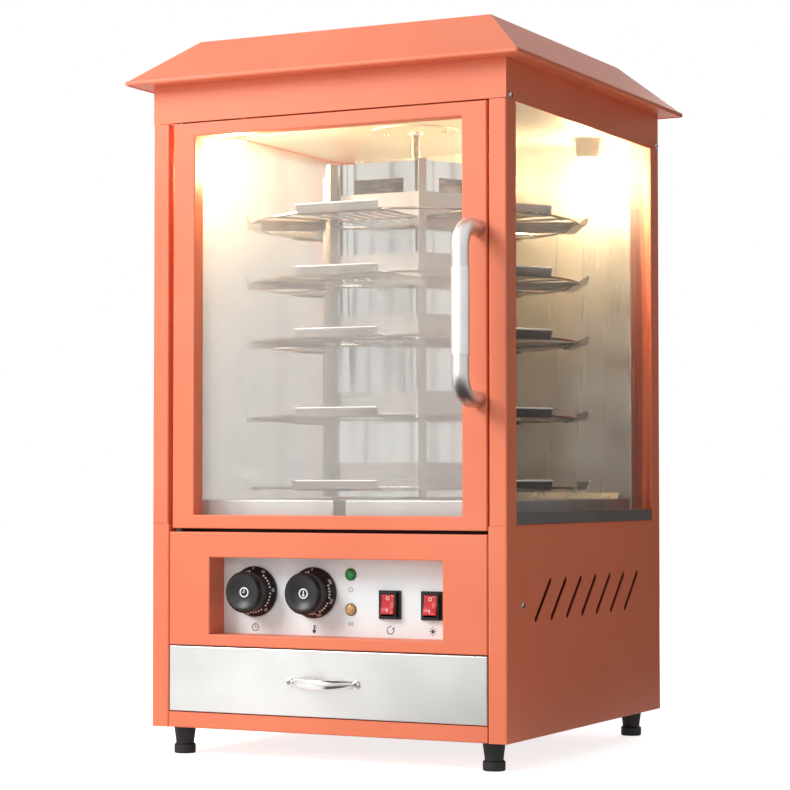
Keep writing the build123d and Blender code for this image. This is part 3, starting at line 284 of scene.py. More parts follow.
def signal_lens(name, colour):
    """Make a moulded acrylic lens whose inner prisms show as small facets."""
    tree, place = start_material(name)
    prism = 1.6 * MM
    prisms = add_node(tree, "ShaderNodeTexVoronoi", {"Vector": place, "Scale": 1 / prism})
    depth = add_node(tree, "ShaderNodeMix", {0: prisms.outputs["Distance"], 6: (*colour, 1.0),
                                             7: (*shaded(colour, 0.45), 1.0)}, data_type="RGBA")
    bump = add_node(tree, "ShaderNodeBump", {"Height": prisms.outputs["Distance"], "Distance": 0.25 * MM,
                                             "Strength": 0.6})
    shader = add_node(tree, "ShaderNodeBsdfPrincipled", {"Base Color": depth.outputs[2], "Roughness": 0.18,
                                                         "IOR": 1.49, "Normal": bump})
    add_node(tree, "ShaderNodeOutputMaterial", {"Surface": shader})


def join(piece, part, place, finish=0):
    """Add a part to a piece, put in place and given one of the piece's finishes."""
    bmesh.ops.remove_doubles(part, verts=part.verts, dist=MERGE)
    bmesh.ops.recalc_face_normals(part, faces=part.faces)
    for face in part.faces:
        face.material_index = finish
    bmesh.ops.transform(part, matrix=place, verts=part.verts)
    holder = bpy.data.meshes.new("part")
    part.to_mesh(holder)
    part.free()
    piece.from_mesh(holder)
    bpy.data.meshes.remove(holder)


def new_piece(name, shape, body, finishes, replaces=()):
    """Turn a finished shape into a piece that rides on a body."""
    mesh = bpy.data.meshes.new(name)
    shape.to_mesh(mesh)
    shape.free()
    mesh.shade_smooth()
    mesh.set_sharp_from_angle(angle=SHARP)
    for finish in finishes:
        mesh.materials.append(bpy.data.materials[finish])
    piece = bpy.data.objects.new(name, mesh)
    bpy.context.scene.collection.objects.link(piece)
    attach(piece, body)
    if replaces:
        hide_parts(*replaces)
    return piece


def dress(finish, *nodes):
    """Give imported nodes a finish."""
    for name in nodes:
        for slot in frame["nodes"][name].material_slots:
            slot.material = bpy.data.materials[finish]


def lathe(piece, profile, place, steps=72, rounding=0.0, finish=0):
    """Spin a profile of radius and height points about the place's own Z, with its corners rounded."""
    part = bmesh.new()
    points = [part.verts.new((radius, 0.0, height)) for radius, height in profile]
    for pair in zip(points, points[1:]):
        part.edges.new(pair)
    if rounding:
        bmesh.ops.bevel(part, geom=points[1:-1], offset=rounding, segments=3, profile=0.5,
                        affect="VERTICES", material=-1, clamp_overlap=True)
    bmesh.ops.spin(part, geom=part.verts[:] + part.edges[:], cent=(0, 0, 0), axis=(0, 0, 1),
                   angle=2 * math.pi, steps=steps, use_merge=True)
    join(piece, part, place, finish)


def wire_between(piece, start, end, radius, sides=8, finish=0):
    """Add a straight round wire between two points."""
    part = bmesh.new()
    bmesh.ops.create_cone(part, cap_ends=True, segments=sides, radius1=radius, radius2=radius,
                          depth=(end - start).length)
    turn = (end - start).to_track_quat("Z", "Y").to_matrix().to_4x4()
    join(piece, part, Matrix.Translation((start + end) / 2) @ turn, finish)


def drawn(part, faces, way):
    """Draw faces out along a way, with walls behind them."""
    grown = bmesh.ops.extrude_face_region(part, geom=faces)["geom"]
    verts = [made for made in grown if isinstance(made, bmesh.types.BMVert)]
    bmesh.ops.translate(part, vec=way, verts=verts)


def disc_mark(piece, radius, height, place, finish=0, inner=0.0, sides=24):
    """Add a printed disc, or a ring if it has an inner radius."""
    part = bmesh.new()
    bmesh.ops.create_circle(part, segments=sides, radius=radius, cap_ends=not inner)
    if inner:
        bmesh.ops.create_circle(part, segments=sides, radius=inner)
        bmesh.ops.bridge_loops(part, edges=part.edges[:])
    drawn(part, part.faces[:], (0, 0, height))
    join(piece, part, place, finish)


def bar_mark(piece, width, tall, height, place, finish=0):
    """Add a printed bar about its own middle."""
    part = bmesh.new()
    bmesh.ops.create_grid(part, x_segments=1, y_segments=1, size=0.5)
    bmesh.ops.scale(part, vec=(width, tall, 1), verts=part.verts)
    drawn(part, part.faces[:], (0, 0, height))
    join(piece, part, place, finish)


def figures(piece, text, size, height, place, finish=0):
    """Add printed figures about their own middle."""
    curve = bpy.data.curves.new("figures", "FONT")
    curve.body = text
    curve.size = size
    curve.extrude = height / 2
    curve.resolution_u = 3
    curve.align_x = "CENTER"
    curve.align_y = "CENTER"
    holder = bpy.data.objects.new("figures", curve)
    mesh = bpy.data.meshes.new_from_object(holder)
    part = bmesh.new()
    part.from_mesh(mesh)
    bpy.data.objects.remove(holder)
    bpy.data.curves.remove(curve)
    bpy.data.meshes.remove(mesh)
    join(piece, part, place, finish)


def facing_front(x, y, z):
    """Place on the front: its own X points right, its Y up and its Z out to the viewer."""
    return Matrix.Translation((x, y, z)) @ Matrix.Rotation(math.radians(90), 4, "X")


def shifted(x, y, z=0.0, turn=0.0):
    """Move within a place, then turn about its Z by an angle in degrees."""
    return Matrix.Translation((x, y, z)) @ Matrix.Rotation(math.radians(turn), 4, "Z")


class ROASTER_OT_finishes(bpy.types.Operator):
    """Make the materials that the pieces share"""
    bl_idname = "roaster.finishes"
    bl_label = "Make finishes"

    def execute(self, context):
        tones = context.scene.roaster_colours
        steel, black = tones.steel, tones.black
        # Powder coat on sheet steel, baked: satin, with an orange peel about 1.5 mm across
        even_finish("powder_coated_steel", tones.paint, tones.paint_shade, grain=(1.5, 1.5, 1.5), cloud=160,
                    roughness=0.42, spread=0.05, relief=0.015, Specular_IOR_Level=0.38)
        # Stainless sheet with a lengthwise brushed grain. The scratches are a tenth of a millimetre wide
        # and are drawn 1.6 mm wide so that they show
        even_finish("brushed_stainless", steel, shaded(steel, 0.86), grain=(90, 90, 1.6), cloud=120,
                    roughness=0.37, spread=0.04, relief=0.002, Metallic=1.0)
        # Rolled stainless sheet, cloudy and dull
        even_finish("rolled_stainless", steel, shaded(steel, 0.8), grain=(6, 6, 6), cloud=90,
                    roughness=0.45, spread=0.06, relief=0.004, Metallic=1.0)
        # Mirror-polished stainless: the thin sheet has long rolling waves, so reflections break into
        # upright streaks
        mirror = even_finish("mirror_stainless", tones.mirror, shaded(tones.mirror, 0.94),
                             grain=(30, 30, 700), cloud=140, roughness=0.08, spread=0.03, relief=0.9,
                             detail=0.5, Metallic=1.0)
        # It is ground dull in a band above each rack and on the ribs, which stand out past its corners, and
        # darker there with painted shade
        past_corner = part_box("drum_end_plates")[1].x + 2 * MM
        rack_tops = [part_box(rack)[1].z for rack in RACKS]
        grind_and_shade(mirror, colour=linear("#B0ABA6"), roughness=0.42, corner=past_corner, lows=rack_tops,
              tall=28 * MM)
        # Chrome plate on drawn wire, browned a little by heat: bright, with faint drawing lines
        even_finish("chrome_plate", tones.chrome, shaded(tones.chrome, 0.85), grain=(4, 4, 4), cloud=60,
                    roughness=0.13, spread=0.04, relief=0.004, Metallic=1.0)
        # Polished stainless strip: bright, with soft-edged reflections
        even_finish("polished_stainless", linear("#EDECEA"), linear("#E2E1DF"), grain=(9, 9, 90), cloud=80,
                    roughness=0.26, spread=0.02, relief=0.0004, Metallic=1.0)
        # Satin stainless tube: ground fine, so that what it mirrors runs together
        even_finish("satin_stainless", linear("#E2E0DD"), linear("#D8D6D3"), grain=(9, 9, 90), cloud=80,
                    roughness=0.42, spread=0.02, relief=0.0004, Metallic=1.0)
        # Bead-blasted sleeve: a pale, even metal that spreads light
        even_finish("blasted_aluminium", linear("#EFEEEC"), linear("#E4E3E1"), grain=(1.2, 1.2, 1.2),
                    cloud=60, roughness=0.46, spread=0.05, relief=0.01, Metallic=1.0)
        # Folded strip of rolled steel, browned by heat and smooth enough to mirror softly
        even_finish("browned_strip", linear("#A69C95"), linear("#948A83"), grain=(14, 14, 3), cloud=50,
                    roughness=0.22, spread=0.05, relief=0.004, Metallic=1.0)
        # Near black, dull steel on the chamber floor and the hinge bushes: painted shade, so that the gaps
        # round the door look dark
        even_finish("blackened_steel", linear("#1C1A19"), linear("#2A2624"), grain=(3, 3, 3), cloud=30,
                    roughness=0.55, spread=0.08, relief=0.01)
        # Ceiling sheet, dulled by heat and steam so that it spreads the lamps' light
        even_finish("steamed_stainless", linear("#FCF8EE"), linear("#F5EFE2"), grain=(8, 8, 8), cloud=70,
                    roughness=0.45, spread=0.06, relief=0.006, Metallic=0.25)
        # Bright-annealed stainless liner: a soft mirror whose rolling waves stretch reflections upright
        even_finish("bright_annealed_steel", linear("#E6E1DA"), linear("#DAD4CC"), grain=(45, 45, 500),
                    cloud=120, roughness=0.26, spread=0.05, relief=0.6, Metallic=0.45)
        # Zinc-plated screws and pins: bright, with a faint yellow cast
        even_finish("zinc_plated_steel", linear("#C9C8C4"), linear("#B9B4A6"), grain=(2, 2, 2), cloud=12,
                    roughness=0.3, spread=0.08, relief=0.01, Metallic=1.0)
        # Turned brass bearing: warm yellow, with fine turning lines
        even_finish("turned_brass", linear("#C9A455"), linear("#AD8640"), grain=(3, 3, 0.8), cloud=20,
                    roughness=0.3, spread=0.08, relief=0.01, Metallic=1.0)
        # Cast aluminium gearbox, shot-blasted: grey and grainy
        even_finish("cast_aluminium", linear("#A9ABAC"), linear("#96989A"), grain=(1.2, 1.2, 1.2), cloud=30,
                    roughness=0.55, spread=0.08, relief=0.05, Metallic=1.0)
        # Anodised channel, dark grey and dull
        even_finish("anodised_channel", tones.channel, shaded(tones.channel, 0.85), grain=(30, 2, 30),
                    cloud=60, roughness=0.48, spread=0.06, relief=0.01, Specular_IOR_Level=0.4)
        # Moulded ABS with a spark-eroded grain 0.6 mm across: black, with a low sheen
        even_finish("moulded_abs", black, shaded(black, 1.5), grain=(0.6, 0.6, 0.6), cloud=25,
                    roughness=0.36, spread=0.06, relief=0.012, Specular_IOR_Level=0.42)
        # Moulded rubber: black and dull
        even_finish("moulded_rubber", tones.rubber, shaded(tones.rubber, 1.8), grain=(1, 1, 1), cloud=20,
                    roughness=0.62, spread=0.1, relief=0.03)
        # Polycarbonate rocker, polished in the mould: deep red with a clear gloss
        even_finish("red_polycarbonate", tones.red, shaded(tones.red, 0.75), grain=(2, 2, 2), cloud=10,
                    roughness=0.2, spread=0.05, relief=0.004, Coat_Weight=0.4)
        # Enamelled plate, smooth with a faint peel
        even_finish("white_enamel", tones.plate, shaded(tones.plate, 0.97), grain=(2, 2, 2), cloud=70,
                    roughness=0.34, spread=0.05, relief=0.008)
        # Pad-printed ink: flat and dull
        even_finish("white_ink", tones.ink, shaded(tones.ink, 0.94), grain=(0.8, 0.8, 0.8), cloud=6,
                    roughness=0.5, spread=0.05, relief=0.01)
        even_finish("dark_ink", tones.dark_ink, shaded(tones.dark_ink, 0.9), grain=(0.8, 0.8, 0.8), cloud=6,
                    roughness=0.5, spread=0.05, relief=0.01)
        # Glazed steatite lamp holders: cream and glossy
        even_finish("glazed_ceramic", linear("#EFE9DD"), linear("#E3DACA"), grain=(3, 3, 3), cloud=20,
                    roughness=0.25, spread=0.05, relief=0.01)
        # Lit bulb: frosted glass bright with its filament's light
        even_finish("lit_bulb_glass", linear("#FFF3DC"), linear("#FFEBC8"), grain=(2, 2, 2), cloud=15,
                    roughness=0.4, spread=0.05, relief=0.005, Emission_Color=(*tones.glow, 1.0),
                    Emission_Strength=205.0)
        # Oxidised heater sheath, brown and blue from its own heat
        even_finish("heat_tinted_steel", linear("#6E645A"), linear("#4F5058"), grain=(12, 12, 12), cloud=45,
                    roughness=0.42, spread=0.08, relief=0.01, Metallic=1.0)
        signal_lens("green_acrylic", tones.green)
        signal_lens("amber_acrylic", tones.amber)
        low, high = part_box("door_glass")
        # Clear toughened door glass, and grey-tinted side panes that mirror more. The left one is steamed
        # inside, most of all near its top, and has a darker tint than the right one: painted shade on what
        # shows through it
        glass_pane("door_glass_film", tones.haze, filmed_side=(0, -1, 0), haze_low=0.52, haze_high=0.15,
                   low=low.z + 0.2, high=high.z, tint=(0.96, 0.975, 0.965), index=1.5)
        glass_pane("right_pane_film", tones.haze, filmed_side=(1, 0, 0), haze_low=0.08, haze_high=0.5,
                   low=high.z - 0.26, high=high.z, tint=(0.91, 0.915, 0.91), index=1.75)
        glass_pane("left_pane_film", tones.haze, filmed_side=(1, 0, 0), haze_low=0.45, haze_high=0.8,
                   low=high.z - 0.12, high=high.z, tint=(0.70, 0.705, 0.70), index=2.0)
        return {"FINISHED"}


class ROASTER_OT_cabinet(bpy.types.Operator):
    """Dress the painted cabinet, the roof, the door and the feet"""
    bl_idname = "roaster.cabinet"
    bl_label = "Dress cabinet"

    def execute(self, context):
        dress("powder_coated_steel", "base_pan", "right_lower_side", "left_lower_side", "lower_rear_panel",
              "upper_rear_panel", "control_fascia", "right_side_frame", "left_side_frame", "header_panel",
              "roof_shell", "roof_soffit", "door_frame", "glass_retainer")
        dress("moulded_rubber", "feet")
        dress("moulded_abs", "cable_gland", "door_magnet")
        dress("zinc_plated_steel", "hinge_pins")
        # The hinge bushes are painted near black: painted shade in the door's hinge gap
        dress("blackened_steel", "hinge_bushes")
        dress("satin_stainless", "door_handle")
        dress("blasted_aluminium", "handle_grip")
        dress("anodised_channel", "glass_channels")
        dress("door_glass_film", "door_glass")
        return {"FINISHED"}


class ROASTER_OT_panes(bpy.types.Operator):
    """Build the two side panes with ground edges"""
    bl_idname = "roaster.panes"
    bl_label = "Build side panes"

    def execute(self, context):
        edge = context.scene.roaster_sizes.pane_edge
        for low, high in solid_boxes("side_glasses"):
            side = "left" if low.x < 0 else "right"
            pane = bmesh.new()
            part = bmesh.new()
            bmesh.ops.create_cube(part, size=1.0, matrix=Matrix.Diagonal((*(high - low), 1.0)))
            bmesh.ops.bevel(part, geom=part.edges[:], offset=edge, segments=2, profile=0.5, affect="EDGES",
                            material=-1)
            join(pane, part, Matrix.Translation((low + high) / 2))
            new_piece(f"{side}_side_pane", pane, "cabinet", [f"{side}_pane_film"],
                      ["side_glasses"])
        return {"FINISHED"}


class ROASTER_OT_chamber(bpy.types.Operator):
    """Dress the roasting chamber, its heaters and lamps, and the drive below it"""
    bl_idname = "roaster.chamber"
    bl_label = "Dress chamber"

    def execute(self, context):
        dress("rolled_stainless", "floor_plates", "motor_bracket")
        dress("bright_annealed_steel", "rear_liner")
        dress("steamed_stainless", "ceiling_plate", "upper_shaft_bearing")
        # The chamber floor is painted near black: painted shade in the gap under the door
        dress("blackened_steel", "chamber_floor")
        dress("heat_tinted_steel", "heater_tubes")
        dress("lit_bulb_glass", "lamp_bulbs")
        dress("glazed_ceramic", "lamp_holders")
        dress("cast_aluminium", "gear_motor")
        dress("turned_brass", "lower_shaft_bearing")
        dress("zinc_plated_steel", "motor_spindle", "shaft_coupling", "drive_shaft")
        dress("bright_annealed_steel", "drum_end_plates")
        return {"FINISHED"}


class ROASTER_OT_drawer(bpy.types.Operator):
    """Dress the crumb drawer and its runners, and build its bowed pull"""
    bl_idname = "roaster.drawer"
    bl_label = "Build drawer"

    def execute(self, context):
        sizes = context.scene.roaster_sizes
        dress("brushed_stainless", "drawer_front")
        dress("rolled_stainless", "drawer_box", "drawer_runners")
        low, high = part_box("drawer_pull")
        middle = (low + high) / 2
        screw_low, screw_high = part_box("pull_screws")
        lug_rise = high.y - screw_high.y
        lug_x = screw_high.x - (screw_high.z - screw_low.z) / 2
        bow_end = lug_x - sizes.pull_lug / 2
        depth = high.y - low.y
        radius = (bow_end ** 2 + depth ** 2) / (2 * depth)
        centre = Vector((0, low.y + radius, middle.z))
        sweep = 2 * math.asin(bow_end / radius)
        # The strip has a crowned section and is spun along the bow, then drawn in towards its ends
        pull = bmesh.new()
        strip = bmesh.new()
        section = (Matrix.Translation((0, low.y + sizes.pull_strip / 2, middle.z))
                   @ Matrix.Diagonal((1, sizes.pull_strip / 2, (high.z - low.z) / 2, 1))
                   @ Matrix.Rotation(math.pi / 2, 4, "Y"))
        bmesh.ops.create_circle(strip, segments=24, radius=1.0, matrix=section)
        bmesh.ops.rotate(strip, cent=centre, matrix=Matrix.Rotation(-sweep / 2, 3, "Z"), verts=strip.verts)
        bmesh.ops.spin(strip, geom=strip.verts[:] + strip.edges[:], cent=centre, axis=(0, 0, 1),
                       angle=sweep, steps=32)
        bmesh.ops.holes_fill(strip, edges=[edge for edge in strip.edges if edge.is_boundary], sides=0)
        end_share = 0.68
        for vert in strip.verts:
            angle = math.atan2(vert.co.x, centre.y - vert.co.y)
            share = end_share + (1 - end_share) * math.cos(math.pi * angle / sweep)
            vert.co.z = middle.z + (vert.co.z - middle.z) * share
        join(pull, strip, Matrix.Identity(4))
        lug, chamfer = sizes.pull_lug, 0.7
        profile = [(0, 0), (lug, 0), (lug, lug_rise * chamfer), (lug * chamfer, lug_rise), (0, lug_rise)]
        for x in (-lug_x, lug_x):
            lathe(pull, profile, facing_front(x, high.y, middle.z), steps=40, rounding=0.5 * MM)
        new_piece("bow_pull", pull, "drawer", ["polished_stainless"], ["drawer_pull"])
        return {"FINISHED"}


class ROASTER_OT_carousel(bpy.types.Operator):
    """Dress the mirror drum, and build the five racks from round wire and the lips round them"""
    bl_idname = "roaster.carousel"
    bl_label = "Build carousel"

    def execute(self, context):
        sizes = context.scene.roaster_sizes
        dress("mirror_stainless", "hex_drum")
        self.lips(sizes)
        half = sizes.wire / 2
        # The end plates fit inside the drum's sheet
        drum_sheet = 1 * MM
        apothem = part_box("drum_end_plates")[1].y + drum_sheet
        side = 2 * apothem / math.sqrt(3)
        inner = apothem + half
        corner = side / 2 + half
        pitch = side / sizes.wires_per_side
        for number, node in enumerate(RACKS, 1):
            low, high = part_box(node)
            rim = high.x - half
            level = Matrix.Translation((0, 0, (low.z + high.z) / 2))
            rack = bmesh.new()
            ring = bmesh.new()
            upright = Matrix.Translation((rim, 0, 0)) @ Matrix.Rotation(math.pi / 2, 4, "X")
            bmesh.ops.create_circle(ring, segments=10, radius=half, matrix=upright)
            bmesh.ops.spin(ring, geom=ring.verts[:] + ring.edges[:], cent=(0, 0, 0), axis=(0, 0, 1),
                           angle=2 * math.pi, steps=120, use_merge=True)
            join(rack, ring, level)
            for sector in range(SIDES):
                square = level @ Matrix.Rotation(math.radians(SIDE_TURN * (sector + 0.5)), 4, "Z")
                self.flat_wire(rack, square, (inner, -corner), (inner, corner), half)
                for wire in range(sizes.wires_per_side):
                    across = (wire - (sizes.wires_per_side - 1) / 2) * pitch
                    reach = math.sqrt(rim ** 2 - across ** 2)
                    self.flat_wire(rack, square, (inner, across), (reach, across), half)
                spoke = level @ Matrix.Rotation(math.radians(SIDE_TURN * sector), 4, "Z")
                self.flat_wire(rack, spoke, (side + half, 0), (rim, 0), half)
            new_piece(f"wire_rack_{number}", rack, "carousel", ["chrome_plate"], [node])
        return {"FINISHED"}

    def flat_wire(self, rack, place, start, end, radius):
        """Add a wire between two points in the plane of a rack."""
        wire_between(rack, place @ Vector((*start, 0)), place @ Vector((*end, 0)), radius)

    def lips(self, sizes):
        """Build the lips: strips turned up round a bend, each with a bead rolled along its upper edge."""
        lips = bmesh.new()
        turn_up = math.radians(75)
        rise = Vector((0, math.cos(turn_up), math.sin(turn_up))) * sizes.lip_rise
        inwards = Vector((0, -math.sin(turn_up), math.cos(turn_up))) * sizes.lip_sheet / 2
        for low, high in solid_boxes("shelf_lips"):
            # Of each rack's six lips, the one that lies square behind the axis gives the shape of all
            if low.y < 0 or abs(low.x + high.x) > MM:
                continue
            bend_y = high.y - sizes.lip_bend * math.sin(turn_up) - rise.y
            for sector in range(SIDES):
                turn = Matrix.Rotation(math.radians(SIDE_TURN * sector), 4, "Z")
                strip = bmesh.new()
                inner = strip.edges.new([strip.verts.new((x, low.y, low.z)) for x in (low.x, high.x)])
                folded = self.drawn_out(strip, inner, (0, bend_y - low.y, 0))
                spun = bmesh.ops.spin(strip, geom=[*folded.verts, folded], axis=(1, 0, 0), angle=turn_up,
                                      steps=6, cent=(0, bend_y, low.z + sizes.lip_bend))["geom_last"]
                bent = next(part for part in spun if isinstance(part, bmesh.types.BMEdge))
                upper = self.drawn_out(strip, bent, rise)
                ends = [turn @ (vert.co + inwards) for vert in upper.verts]
                bmesh.ops.remove_doubles(strip, verts=strip.verts, dist=MERGE)
                bmesh.ops.recalc_face_normals(strip, faces=strip.faces)
                bmesh.ops.solidify(strip, geom=strip.faces[:], thickness=sizes.lip_sheet)
                join(lips, strip, turn)
                # Each bead is rounded, so it catches the light, and takes a paler steel than the browned
                # strip: a painted highlight along the lip's upper edge
                wire_between(lips, *ends, sizes.lip_bead, sides=14, finish=1)
        new_piece("rolled_lips", lips, "carousel", ["browned_strip", "satin_stainless"],
                  ["shelf_lips"])

    def drawn_out(self, strip, edge, way):
        """Draw an edge out into a face, and return the edge at the far side."""
        made = bmesh.ops.extrude_edge_only(strip, edges=[edge])["geom"]
        verts = [part for part in made if isinstance(part, bmesh.types.BMVert)]
        bmesh.ops.translate(strip, vec=way, verts=verts)
        return next(part for part in made if isinstance(part, bmesh.types.BMEdge))


class ROASTER_OT_knobs(bpy.types.Operator):
    """Build the timer and thermostat knobs with numbered skirts"""
    bl_idname = "roaster.knobs"
    bl_label = "Build knobs"

    def execute(self, context):
        sizes = context.scene.roaster_sizes
        cap, face_radius, skirt, ink = sizes.knob_cap, sizes.knob_face, sizes.knob_skirt, sizes.ink
        plate_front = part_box("control_plate")[0].y
        # Heights above the plate, then the width of the cap's edge, the depth of its dish and a small step
        foot, rim, base, top = 0.6 * MM, 3.6 * MM, 8.8 * MM, 30 * MM
        edge, dish, step = 3.4 * MM, 4.2 * MM, 0.4 * MM
        dot_inset, figure_inset = 5.2 * MM, 2.6 * MM
        ring, ring_hole, ring_rise, sign_rise = 5.8 * MM, 4.4 * MM, 0.5 * MM, 0.3 * MM
        spaces = 6
        shoulder = cap + step
        slope = math.atan2(base - rim, skirt - shoulder)
        for name, count_by, span in (("timer", 10, 330), ("thermostat", 50, 300)):
            knob = bmesh.new()
            middle = node_middle(f"{name}_knob")
            place = facing_front(middle.x, plate_front, middle.z)
            lathe(knob, [(0, foot), (skirt, foot), (skirt, rim), (shoulder, base), (cap, base + step),
                         (face_radius, top - edge), (face_radius - edge, top)], place, rounding=0.35 * MM)
            # The cap's face: a rounded shoulder round a dish
            lathe(knob, [(face_radius - edge, top), (face_radius - edge * 1.6, top),
                         (cap * 0.5, top - dish * 0.75), (cap * 0.25, top - dish * 0.97), (0, top - dish)],
                  place, rounding=1.8 * MM)
            for count in range(spaces + 1):
                angle = math.radians(count * span / spaces)
                for part in range(1, spaces):
                    if count < spaces:
                        between = angle + math.radians(part * span / spaces ** 2)
                        spot = self.on_skirt(between, skirt - dot_inset, skirt, rim, slope)
                        disc_mark(knob, sizes.dot, ink, place @ spot, 1, sides=10)
                spot = self.on_skirt(angle, skirt - figure_inset, skirt, rim, slope)
                figures(knob, str(count * count_by), sizes.figure, ink, place @ spot, 1)
            face = place @ shifted(0, 0, top - dish)
            disc_mark(knob, ring, ring_rise, face, 1, inner=ring_hole, sides=40)
            if name == "timer":
                bar_mark(knob, 1.1 * MM, 3.6 * MM, sign_rise, face @ shifted(0, 1.4 * MM), 1)
                bar_mark(knob, 3.0 * MM, 1.1 * MM, sign_rise, face @ shifted(-1.1 * MM, -0.1 * MM), 1)
            else:
                bar_mark(knob, 1.2 * MM, 4.6 * MM, sign_rise, face @ shifted(0, 0.9 * MM), 1)
                disc_mark(knob, 1.5 * MM, sign_rise, face @ shifted(0, -1.8 * MM), 1)
            new_piece(f"{name}_dial_knob", knob, f"{name}_knob",
                      ["moulded_abs", "white_ink"], [f"{name}_knob"])
        return {"FINISHED"}

    def on_skirt(self, angle, radius, skirt, rim, slope):
        """Place on the skirt's cone, its Y pointing outwards, at an angle leftwards from the top."""
        height = rim + (skirt - radius) * math.tan(slope)
        return (Matrix.Rotation(angle, 4, "Z") @ Matrix.Translation((0, radius, height))
                @ Matrix.Rotation(-slope, 4, "X"))


class ROASTER_OT_switches(bpy.types.Operator):
    """Build the two red rockers, and dress their housings and the boxes behind the knobs"""
    bl_idname = "roaster.switches"
    bl_label = "Build switches"

    def execute(self, context):
        sizes = context.scene.roaster_sizes
        dress("moulded_abs", "switch_bodies", "timer_unit", "thermostat_unit")
        half, ink = sizes.rocker_length / 2, sizes.ink
        # Heights above the pivot, then the pin's half length and radius
        crown, valley, heel = 5.6 * MM, 4.2 * MM, 2.0 * MM
        pin_reach, pin_radius = 9.2 * MM, 1.5 * MM
        valley_round, rim_round = 6 * MM, 0.5 * MM
        rest_tip = math.radians(-8.5)
        rake = math.atan2(crown - valley, half)
        mark_y = half * 0.62
        mark_z = valley + math.tan(rake) * mark_y
        for name in ("rotation_rocker", "lighting_rocker"):
            joint = next(joint for joint in frame["joints"] if joint["child"] == name)
            place = facing_front(*joint["pos_m"])
            tipped = place @ Matrix.Rotation(rest_tip, 4, "X")
            rocker = bmesh.new()
            part = bmesh.new()
            outline = [(-half, -heel), (-half, crown), (0, valley), (half, crown), (half, -heel)]
            face = part.faces.new([part.verts.new((-sizes.rocker_width / 2, y, z)) for y, z in outline])
            drawn(part, [face], (sizes.rocker_width, 0, 0))
            valley_edges = [edge for edge in part.edges
                            if all(abs(vert.co.y) < MM / 10 for vert in edge.verts)]
            bmesh.ops.bevel(part, geom=valley_edges, offset=valley_round, segments=8, profile=0.5,
                            affect="EDGES", material=-1)
            rims = [edge for edge in part.edges if edge.calc_face_angle(0) > math.radians(40)]
            bmesh.ops.bevel(part, geom=rims, offset=rim_round, segments=3, profile=0.5, affect="EDGES",
                            material=-1)
            join(rocker, part, tipped)
            wire_between(rocker, place @ Vector((-pin_reach, 0, 0)), place @ Vector((pin_reach, 0, 0)),
                         pin_radius, sides=16)
            up = tipped @ Matrix.Translation((0, mark_y, mark_z)) @ Matrix.Rotation(rake, 4, "X")
            disc_mark(rocker, 2.1 * MM, ink, up, 1, inner=1.5 * MM)
            down = tipped @ Matrix.Translation((0, -mark_y, mark_z)) @ Matrix.Rotation(-rake, 4, "X")
            bar_mark(rocker, 0.8 * MM, 4.2 * MM, ink, down, 1)
            new_piece(f"{name}_cap", rocker, name, ["red_polycarbonate", "white_ink"],
                      [name])
        return {"FINISHED"}


class ROASTER_OT_signals(bpy.types.Operator):
    """Build the green and amber signal lamps"""
    bl_idname = "roaster.signals"
    bl_label = "Build signal lamps"

    def execute(self, context):
        radius, bezel = context.scene.roaster_sizes.lens, 0.9 * MM
        low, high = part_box("indicator_lamps")
        x = (low.x + high.x) / 2
        plate_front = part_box("control_plate")[0].y
        for name, z, finish in (("power_lamp", high.z - radius, "green_acrylic"),
                                ("heating_lamp", low.z + radius, "amber_acrylic")):
            place = facing_front(x, plate_front, z)
            lamp = bmesh.new()
            # A domed lens, then the bezel round its foot
            lathe(lamp, [(0, bezel), (radius * 0.9, bezel), (radius * 0.86, 1.8 * MM),
                         (radius * 0.66, 3.0 * MM), (radius * 0.36, 3.7 * MM), (0, 3.95 * MM)],
                  place, steps=48)
            lathe(lamp, [(radius * 0.7, 0), (radius, 0), (radius, bezel), (radius * 0.84, 1.2 * MM),
                         (radius * 0.7, 1.0 * MM)], place, steps=48, finish=1)
            new_piece(name, lamp, "cabinet", [finish, "moulded_abs"], ["indicator_lamps"])
        return {"FINISHED"}


